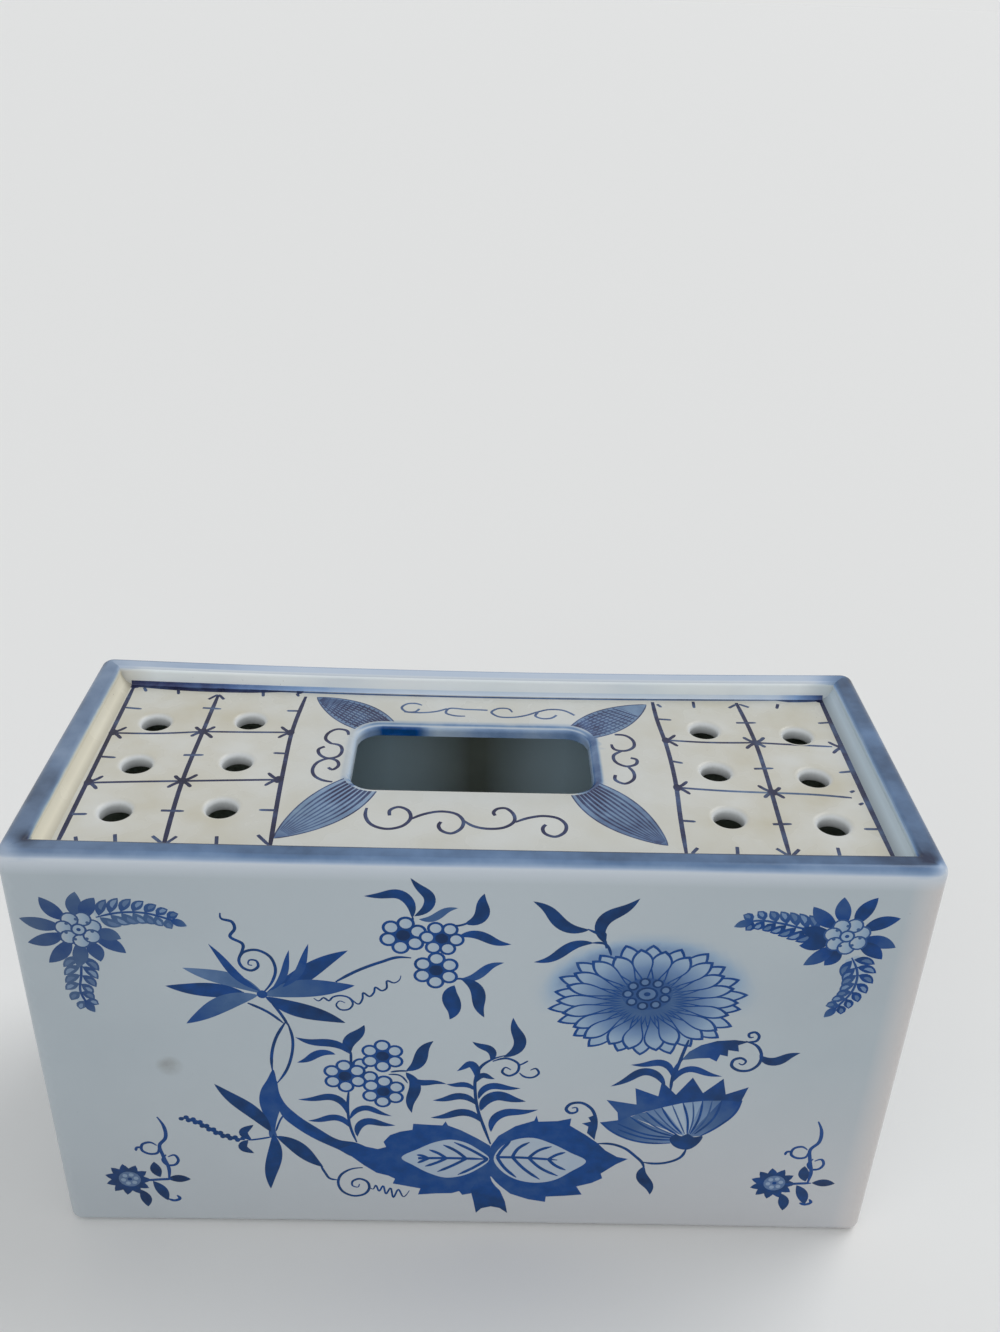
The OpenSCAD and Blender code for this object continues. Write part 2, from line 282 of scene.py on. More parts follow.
veinedPair = {
    "fills": {
        "leftEdge": ((0.86, 0.8), False, (-30, 25), (5, 25)),
        "rightEdge": ((0.8, 0.88), False, (6, 25), (36, 25)),
        "stalk": ((0.8, 0.95), False, (4, 19), (5, 6)),
        "leftBlade": ((0.16, 0.1), True), "rightBlade": ((0.1, 0.14), True),
    },
    "veinLook": (0.88, 0.86, (0.9, 0.3)), "slitLook": (0.7, 0.03, (0.3, 0.2)),
    "leftEdge": [(-31.5, 28), (-27, 30.2), (-25.4, 29.2), (-22, 28.2), (-20, 29), (-20.6, 30.8), (-19, 33.2),
                 (-16.5, 34.5), (-13.6, 35.2), (-13.4, 37.3), (-9, 37), (-6.4, 36.9), (-5.7, 38.3),
                 (-5.1, 36.9), (-2, 35.3), (2, 32.5), (5.2, 29.9), (5.4, 25), (5, 20), (3, 17), (0.7, 12.4),
                 (-1.4, 11.8), (-2.2, 13.2), (-4, 12.4), (-8, 12.2), (-12.4, 11.7), (-11.8, 14), (-15, 14.8),
                 (-18.6, 15.7), (-18, 17.5), (-19.6, 18.6), (-22.5, 19.6), (-25.5, 22.3), (-28.5, 25.5)],
    "rightEdge": [(5.3, 30), (7, 33.5), (11, 37), (15.4, 39), (15.9, 40.8), (16.4, 38.7), (21, 39),
                  (24.2, 40), (24, 37.5), (28, 34.3), (31, 31.5), (33, 29), (36, 26.7), (38.8, 26), (36, 24),
                  (32.5, 20.5), (33, 18.8), (30.5, 17), (26.8, 15.6), (28.3, 12.6), (24, 12), (19.4, 11.6),
                  (19.3, 9.6), (15, 10.5), (10.5, 12.5), (7.8, 15.5), (4.8, 19.5), (4.8, 25)],
    "leftBlade": [(-16.3, 25), (-12, 28.6), (-8, 31), (-4.6, 31.9), (-1, 31), (2, 28.8), (5, 25.2), (2, 21.3),
                  (-1.5, 19), (-5.5, 18.2), (-10, 20), (-13.5, 22.6)],
    "rightBlade": [(6.1, 25.3), (7.8, 29.6), (11, 32.2), (15, 33), (20, 31), (24.5, 28), (28.6, 24.9),
                   (25, 21), (21, 17.8), (17, 16.8), (12.5, 17.6), (8.4, 20.6)],
    "veins": [
        [(-12.3, 25.1), (-5, 25.3), (4.8, 25.1)], [(4.6, 25.1), (0.5, 28.4), (-3.6, 31)],
        [(4.6, 25.1), (1.2, 22), (-2.6, 19.3)], [(-0.6, 25.2), (-3.2, 28), (-6.2, 30)],
        [(-0.6, 25.2), (-4, 22.6), (-7.6, 20.3)], [(-5.4, 25.2), (-7.4, 27), (-9.6, 28.2)],
        [(-5.4, 25.2), (-7.8, 23.6), (-10.6, 22.2)], [(-9.8, 25.1), (-11.2, 26), (-12.6, 26.3)],
        [(-9.8, 25.1), (-11.2, 24.2), (-12.4, 23.4)],
        [(6.8, 25.9), (12, 25.9), (21.6, 25.2)], [(6.9, 26), (8.2, 29), (10, 31.6)],
        [(6.9, 26), (8.6, 22.4), (11.8, 18.6)], [(10.6, 26), (12, 29.2), (14.6, 31.4)],
        [(10.6, 26), (13.6, 21.8), (17.6, 18)], [(14.6, 25.8), (17, 28.6), (20, 30)],
        [(14.6, 25.8), (17.6, 22.2), (22, 19.4)], [(19.4, 25.4), (21.2, 27), (23.4, 28)],
        [(19.4, 25.4), (21, 23.4), (23.8, 21.6)],
    ],
    "stalk": [(0.6, 13.6), (1.4, 9.5), (2.1, 5), (3.4, 6.8), (5.8, 7.6), (8, 7), (10, 5.1), (9.3, 9.5),
              (8, 13.5), (6.2, 17), (5.4, 20.5), (3, 19)],
    "slit": [(5.5, 18.8), (7, 15.6), (9.7, 12.2)],
}

asterHead = {
    "centre": (39.1, 78.1), "reach": (22.0, 16.8), "petals": 22,
    "ground": [(13, 0.5, 0.77, 30), (9, 0.66, 0.77, 28)],  # radius, ink, flatness and sides
    "rows": [(0.5, 1.0), (0.0, 0.91)],  # by how much of a petal a row is turned, and how far it reaches
    "petalWide": 1.56, "belly": 0.68, "petalInk": 0.83, "edge": 0.9, "heartInk": (0.72, 0.22), "wobble": 0.03,
    "disc": (38.8, 80.3), "discFlat": 0.84, "discGround": (5.7, 0.74), "cells": 9, "cellRing": 4.3,
    "cellDiscs": [(1.3, 0.93, 14), (0.8, 0.52, 12)], "eyeDiscs": [(2.5, 0.93), (1.9, 0.54), (0.75, 0.86)],
    "leaves": [
        ([(28.4, 95), (28.4, 101.5), (35, 107.6)], 3.1, 0.95),
        ([(24.8, 98.7), (18.2, 101), (12.4, 106.3)], 3.1, 0.95),
        ([(26, 95), (19.8, 92.6), (13.2, 89.2)], 2.6, 0.9),
    ],
    "lines": [([(28.8, 93.5), (28.2, 96), (24.4, 98.9)], 0.8), ([(30, 91.5), (28.4, 94.8), (25.6, 95)], 0.8),
              ([(28.3, 95.6), (28.3, 98)], 0.8), ([(49.5, 66.5), (48.3, 60.5), (46.9, 52)], 1.0)],
}

acanthus = {
    "fills": {"scroll": ((0.66, 0.92), False, (49, 61), (58, 65)), "curl": (0.92,)},
    "scroll": [(48.4, 60), (50, 62.8), (52.5, 64.9), (56, 66.3), (60, 66.7), (63.5, 66.2), (61, 65),
               (61.4, 63), (58.9, 63.4), (59, 61.4), (57.2, 61.9), (56.6, 59.7), (54.8, 60.8), (52, 60.6),
               (50, 60.2)],
    "curl": [(30.2, 32.6), (30.6, 38), (29.8, 41.4), (28.2, 40.4), (28.9, 39), (26.8, 38.3), (28.4, 37.2),
             (28.2, 35)],
    "leaves": [([(66.2, 62), (70.2, 60.3), (75.6, 62.9)], 2.7, 0.93),
               ([(46.8, 54.5), (44, 58.6), (36.9, 58.2)], 2.1, 0.86),
               ([(45.5, 51.2), (40.5, 55.7), (32.7, 51)], 2.4, 0.9),
               ([(47.2, 52.8), (50.5, 56.6), (58.5, 54.9)], 2.0, 0.86)],
    "lines": [
        ([(63.3, 66.2), (65, 66.5), (65.4, 68), (64.3, 69.2), (63, 68.6), (63.4, 67.5), (64.2, 67.7)], 0.85),
        ([(62.5, 66.3), (65.2, 65), (66.7, 62), (66.3, 58.8), (64.4, 57), (61.9, 57), (60.2, 58.6),
          (60.6, 60.4), (62.3, 60.9), (63.4, 59.8), (62.7, 58.8), (61.8, 59.3)], 0.95),
        ([(46.9, 50), (46.9, 54), (47.2, 57), (48.8, 60.4)], 0.95),
        ([(29.8, 33.5), (30.2, 37), (29.9, 40.5), (28.6, 43.6), (26, 45.4), (23.6, 44.8), (22.8, 43),
          (23.9, 41.8), (25.4, 42.4), (25.2, 43.7), (24.1, 43.5)], 1.0),
    ],
}

lotusHead = {
    "fills": {
        "sidePetal": ((0.82, 0.52), False, (32, 38.6), (46, 34.6)),
        "crown": ((0.78, 0.9), False, (40, 42), (52, 54)), "cup": (0.93, True),
    },
    "ribLook": (0.6, 0.86), "thinRibLook": (0.42, 0.74), "petalBulge": (0.1, 0.3),
    "crown": [(32.1, 46.5), (39.3, 45.1), (38.6, 50.6), (44.2, 48), (44.6, 53), (48.3, 48.6), (51.7, 54.4),
              (54.6, 49.3), (58.9, 54.2), (60, 49), (65.1, 51.5), (63.9, 46.6), (60, 46.9), (55, 46.7),
              (50, 45.8), (46, 44.4), (41.5, 42.6), (38, 40.9), (35.4, 39.2), (35, 42.3)],
    "sidePetal": [(31.2, 38.8), (35.6, 39.7), (38.2, 41), (44, 37.5), (50.4, 34.2), (48.5, 32), (42, 32.1),
                  (38.5, 33), (35, 35)],
    "petals": [  # far corners of each petal, its ink at the cup and at the far edge
        ((38.2, 40.8), (41.8, 42.6), 0.46, 0.62), ((41.8, 42.6), (45.4, 44.4), 0.3, 0.5),
        ((45.4, 44.4), (50.2, 46), 0.12, 0.16), ((50.2, 46), (54.8, 46.8), 0.14, 0.34),
        ((54.8, 46.8), (59.3, 47), 0.32, 0.56), ((59.3, 47), (63.9, 46.8), 0.5, 0.84),
    ],
    "rightSide": [(63.4, 44), (62, 41), (59.8, 38.4), (57.4, 36.2), (55.6, 34.6)],
    "ribs": [
        [(49.5, 34.2), (43.5, 36.6), (38.2, 40.8)], [(50, 34.8), (45.6, 38.4), (41.8, 42.6)],
        [(51, 35.3), (47.6, 40), (45.3, 44.4)], [(52.3, 35.3), (51.9, 40.2), (50.2, 46)],
        [(53, 35.3), (54.5, 40.4), (54.8, 46.8)], [(54, 35.2), (57.9, 40.6), (59.3, 47)],
        [(55.6, 34.6), (59.8, 38.4), (62.7, 42.2), (64.1, 47)],
        [(31.2, 38.8), (35, 35), (38.5, 33), (42, 32), (48.6, 31.9)],
    ],
    "sideRibs": [[(49.2, 33.8), (42.5, 34.8), (35.4, 38.4)], [(48.8, 33), (42.6, 33.5), (35.6, 36.4)]],
    "cup": [(48.3, 33.8), (49, 31.4), (51, 29.9), (53, 29.7), (55.1, 31.5), (56, 34.6), (54, 34.2),
            (52.4, 35.3), (51, 34.4), (49.6, 35.1)],
    "cupPoint": (52.2, 34.2),
    "lines": [([(31, 31.3), (34.5, 31.2), (37.5, 29.9), (40.5, 27), (42.3, 24.8), (43.1, 22)], 0.95),
              ([(52.6, 30), (51.5, 26.9), (48.5, 25), (45, 24.5), (42.2, 25)], 0.95)],
    "leaves": [([(43, 23.4), (43.4, 18.6), (45.2, 13)], 3.1, 0.96)],
}

cornerSprays = {
    "daisies": [
        {"centre": (-84.6, 96), "strength": 0.9,
         "tips": [(-84, 106.4), (-91.8, 104.8), (-80.1, 104.9), (-96.8, 98.9), (-96, 92.1), (-92.3, 86.4),
                  (-86.2, 85.2), (-81, 87), (-75.2, 89.6), (-75.8, 93.6)],
         "fronds": [[(-80.5, 99.5), (-75, 101), (-70, 101), (-65.5, 99.6), (-61.4, 97.6)],
                    [(-85, 89), (-85.8, 83), (-86.6, 78), (-85.6, 74.6), (-84.2, 72)]]},
        {"centre": (80.5, 98), "strength": 1.04,
         "tips": [(78.2, 108.8), (85.4, 108.8), (91.2, 103.2), (91.6, 95), (89.2, 91.6), (76.8, 89.6),
                  (72.2, 89.6), (70.5, 95.2), (70.2, 100.2), (72, 106.1)],
         "fronds": [[(74.5, 99), (70, 100.2), (65.5, 101.4), (60.5, 102), (55.8, 100.2)],
                    [(82.5, 92), (84.6, 87), (84.2, 82), (82, 78), (79.2, 74.2)]]},
    ],
    "frond": {  # leaves in pairs along a stem, over a pale ground
        "ground": 2.5, "groundInk": 0.12, "stem": (0.6, 0.8), "every": 3, "leaf": 4.1, "leafWide": 2.3,
        "leafInks": [(1, 0.8), (-1, 0.7)], "heartWide": 1.0, "heartInks": (0.4, 0.56),
        "tip": (2.1, (0.84, 0.64)),
    },
    "petal": (3.2, 6.8, 3.5),  # start, bend and width
    "petalInks": [(0.86, 0.7), (0.92, 0.8), (0.92, 0.8)],
    "discs": [  # ring, turn and count of each layer of discs in the middle, then radius, ink and sides
        (3.2, 0.3, 7, [(2.05, 0.76, 14), (1.6, (0.3, 0.06), 14)]), (2.9, 0.75, 7, [(0.42, 0.7, 8)]),
        (0, 0, 1, [(1.75, 0.76, 18), (1.25, 0.2, 18), (0.5, 0.8, 8)]),
    ],
    "frill": {"radius": 4.9, "depth": 0.8, "waves": 11, "points": 44, "ink": 0.9},
    "pinkEye": [(0, 0, 1, [(2.7, 0.55, 18)]), (1.6, 0.2, 6, [(0.62, 0.3, 8)]), (0, 0, 1, [(0.6, 0.85, 8)])],
    "pinkEyeAt": (0.4, 0.2), "pinkLeafWide": 1.2, "pinkLineLook": (1.25, 0.84),
    "pinks": [((-83.5, 16), 0.0), ((75.3, 17.9), -1.5)],  # middle, and how far its tendrils are moved
    "pinkLeaves": [  # measured from the middle of the flower
        ([(2.6, -3.6), (3.6, -6.5), (3.8, -10)], 2.3, 0.95), ([(8, 1), (7.2, 3.6), (7, 6.6)], 2.3, 0.95),
        ([(9.6, 0.5), (12.5, 0.6), (15.4, 0.4)], 2.2, 0.98), ([(6, -0.4), (7.8, -3.6), (9, -7.6)], 2.4, 0.92),
    ],
    "pinkLines": [
        ([(4.5, -0.2), (8, 0.2), (11, 0.4)], 0.7),
        ([(10, 0.2), (10.4, 4), (9.4, 9), (9, 12.6), (10.6, 15), (10.7, 19), (9.4, 22.4)], 0.75),
        ([(9.2, -7), (10.6, -7.6), (12, -6.8), (11.4, -5.6)], 0.7),
        ([(8.6, 11.4), (8.2, 9.8), (6.4, 9.4), (4.6, 10.6), (4.9, 12.8), (6.8, 13.5), (8.3, 12.4)], 0.6),
        ([(4.7, 11.6), (3.4, 11.6), (3.1, 10.4)], 0.6),
        ([(10.2, 9.2), (9.2, 7.2), (10.2, 5.5), (12, 5.6), (13, 7.4), (12.2, 9.1), (10.6, 8.4)], 0.6),
    ],
}


# how the leaves and lines of the print are drawn, where a spray has no curl of its own
printBrush = {"tipCurl": 0.06, "belly": 0.46, "lineWidth": 0.84, "lineInk": 0.9}


def paintLeaves(art, spray):
    curl = spray.get("tipCurl", printBrush["tipCurl"])
    for points, width, ink in spray["leaves"]:
        leaf(art, points, width, ink, curl, printBrush["belly"])


def paintLines(art, spray):
    for points, width in spray["lines"]:
        stroke(art, points, printBrush["lineWidth"] * width, printBrush["lineInk"])


def paintSpray(art, spray):
    paintLeaves(art, spray)
    paintLines(art, spray)


def paintFills(art, spray, *names):
    for name in names or spray["fills"]:
        fill(art, spray[name], *spray["fills"][name])


def paintDiscs(art, centre, layers):
    for radius, turn, count, discs in layers:
        for spot in ringAt(centre, radius, turn, count):
            for size, ink, sides in discs:
                disc(art, spot, size, ink, 1.0, sides)


def paintBamboo(art):
    spray = bambooSpray
    paintLines(art, spray)
    paintFills(art, spray)
    paintLeaves(art, spray)
    stroke(art, spray["beads"], *spray["string"])
    for k, (x, z) in enumerate(through(spray["beads"], spray["beadGap"])):
        sway = np.array(spray["beadSway"]) * (-1) ** k
        disc(art, (x + sway[0], z + sway[1]), *spray["beadSize"], 1.0, 10)


def paintBlossoms(art):
    spray = blossomSprays
    paintSpray(art, spray)
    for spot in spray["rings"]:
        for radius, ink in spray["ringDiscs"]:
            disc(art, spot, radius, ink)
    for centre, size, turn in spray["flowers"]:
        radius, ink = spray["ground"]
        disc(art, centre, radius * size, ink)
        for radius, ink in spray["petalDiscs"]:
            for spot in ringAt(centre, spray["petalRing"] * size, math.radians(turn), spray["petals"]):
                disc(art, spot, radius * size, ink)
        radius, ink = spray["eye"]
        disc(art, centre, radius * size, ink)


def paintAster(art):
    head = asterHead
    middle, reach = np.array(head["centre"]), np.array(head["reach"])
    belly, wobble = head["belly"], head["wobble"]

    def spot(r, a):
        return middle + reach * r * np.array([math.cos(a), math.sin(a)])

    for look in head["ground"]:
        disc(art, middle, *look)
    for row, tip in head["rows"]:
        for k in range(head["petals"]):
            a = 2 * math.pi * (k + row) / head["petals"] + wobble * math.sin(3.1 * k)
            far = tip + wobble * math.sin(2.3 * k + 1)
            slant = np.hypot(reach[0] * math.sin(a), reach[1] * math.cos(a))
            wide = head["petalWide"] * math.pi / head["petals"] * slant
            leaf(art, [spot(0.24, a), spot(0.6, a), spot(far, a)], wide, head["petalInk"], 0, belly)
            path = [spot(0.3, a), spot(0.6, a), spot(far - 0.05, a)]
            leaf(art, path, wide - head["edge"], head["heartInk"], 0, belly)
            art[-1] = (*art[-1][:2], spot(0.3, a), spot(0.78, a))
    flat = head["discFlat"]
    disc(art, head["disc"], *head["discGround"], flat, 28)
    for x, z in ringAt((0, 0), head["cellRing"], 0.35, head["cells"]):
        for radius, ink, sides in head["cellDiscs"]:
            disc(art, (head["disc"][0] + x, head["disc"][1] + flat * z), radius, ink, 1.0, sides)
    for radius, ink in head["eyeDiscs"]:
        disc(art, head["disc"], radius, ink, flat)
    paintSpray(art, head)


def paintLotus(art):
    head = lotusHead
    cup = head["cupPoint"]
    paintSpray(art, head)
    paintFills(art, head, "sidePetal")
    for near, far, inkCup, inkFar in head["petals"]:
        edge = [tuple((near[i] + far[i]) / 2 + head["petalBulge"][i] for i in (0, 1))]
        side = head["rightSide"] if far == head["petals"][-1][1] else []
        fill(art, [cup, near] + edge + [far] + side, (inkCup, inkFar), False, cup, edge[0])
    paintFills(art, head, "crown")
    for rib, other in zip(head["ribs"], head["ribs"][1:6]):
        stroke(art, (np.array(rib) + other) / 2, *head["thinRibLook"])
    for rib in head["ribs"] + head["sideRibs"]:
        stroke(art, rib, *head["ribLook"])
    paintFills(art, head, "cup")


def paintFrond(art, path, strength):
    frond = cornerSprays["frond"]
    line = through(path, 0.9)
    heading = np.gradient(line, axis=0)
    band(art, line, frond["ground"] * np.sin(math.pi * (0.2 + 0.75 * runOf(line))), frond["groundInk"])
    stroke(art, path, *frond["stem"])
    for k in range(1, len(line) - 5, frond["every"]):
        along = heading[k] / np.hypot(*heading[k])
        across = np.array([-along[1], along[0]])
        size = frond["leaf"] * (1 - 0.35 * k / len(line)) * (1 + 0.14 * math.sin(1.9 * k))
        for side, ink in frond["leafInks"]:
            start = line[k] + across * side * 0.2
            bend = start + along * size * 0.3 + across * side * size * 0.45
            tip = start + along * size * 0.75 + across * side * size * 0.8
            inks = (strength * ink + 0.06, strength * ink)
            leaf(art, [start, bend, tip], frond["leafWide"], inks, 0, 0.5, 0.8)
            heart = [start + 0.35 * (tip - start), bend, start + 0.88 * (tip - start)]
            leaf(art, heart, frond["heartWide"], frond["heartInks"][k % 2], 0, 0.5, 0.8)
    leaf(art, [line[-6], line[-3], line[-1]], *frond["tip"])


def paintDaisy(art, daisy):
    middle, strength = np.array(daisy["centre"]), daisy["strength"]
    for path in daisy["fronds"]:
        paintFrond(art, path, strength)
    start, bend, wide = cornerSprays["petal"]
    for k, tip in enumerate(np.array(daisy["tips"])):
        out = (tip - middle) / np.hypot(*(tip - middle))
        inks = tuple(ink * strength for ink in cornerSprays["petalInks"][k % 3])
        aside = 0.5 * np.array([-out[1], out[0]])
        leaf(art, [middle + out * start, middle + out * bend + aside, tip], wide, inks)
    paintDiscs(art, middle, cornerSprays["discs"])


def paintPink(art, centre, shift):
    sprays, frill = cornerSprays, cornerSprays["frill"]
    a = 2 * math.pi * np.arange(frill["points"]) / frill["points"]
    r = frill["radius"] + frill["depth"] * np.cos(frill["waves"] * a)
    lay(art, together(centre[0] + r * np.cos(a), centre[1] + r * np.sin(a)), frill["ink"])
    paintDiscs(art, centre + sprays["pinkEyeAt"], sprays["pinkEye"])
    for points, width, ink in sprays["pinkLeaves"]:
        leaf(art, np.array(points) + centre, sprays["pinkLeafWide"] * width, ink)
    wide, ink = sprays["pinkLineLook"]
    for points, width in sprays["pinkLines"]:
        stroke(art, np.array(points) + centre + (shift, 0), wide * width, ink)


def paintPrint():
    art = []
    paintBamboo(art)
    paintFills(art, veinedPair)
    for vein in veinedPair["veins"]:
        stroke(art, vein, *veinedPair["veinLook"])
    stroke(art, veinedPair["slit"], *veinedPair["slitLook"])
    paintSpray(art, fernStem)
    paintBlossoms(art)
    paintSpray(art, fanSpray)
    disc(art, fanSpray["heart"], *fanSpray["heartLook"])
    paintAster(art)
    paintLotus(art)
    paintFills(art, acanthus)
    paintSpray(art, acanthus)
    for daisy in cornerSprays["daisies"]:
        paintDaisy(art, daisy)
    for centre, shift in cornerSprays["pinks"]:
        paintPink(art, np.array(centre), shift)
    return art


# the soft blue bloom over the upper side of the aster, strongest at the tips of its petals
asterBloom = {"ink": 0.3, "from": 0.94, "soft": 0.12, "upper": (-0.25, 0.45),
              "level": 1.15, "leftward": 0.35, "levels": (0.6, 1.3), "within": 1.6}


def printHaze(x, z):
    dx = (x - asterHead["centre"][0]) / asterHead["reach"][0]
    dz = (z - asterHead["centre"][1]) / asterHead["reach"][1]
    r = np.hypot(dx, dz)
    upper = fade(dz / np.maximum(r, 0.01), *asterBloom["upper"])
    left = np.clip(asterBloom["level"] - asterBloom["leftward"] * dx, *asterBloom["levels"])
    beyond = np.maximum(r - asterBloom["from"], 0) / asterBloom["soft"]
    return asterBloom["ink"] * upper * left * np.exp(-beyond ** 2) * (r < asterBloom["within"])


# the brushwork on the sunken top, in millimetres: x along the brick, y to the back

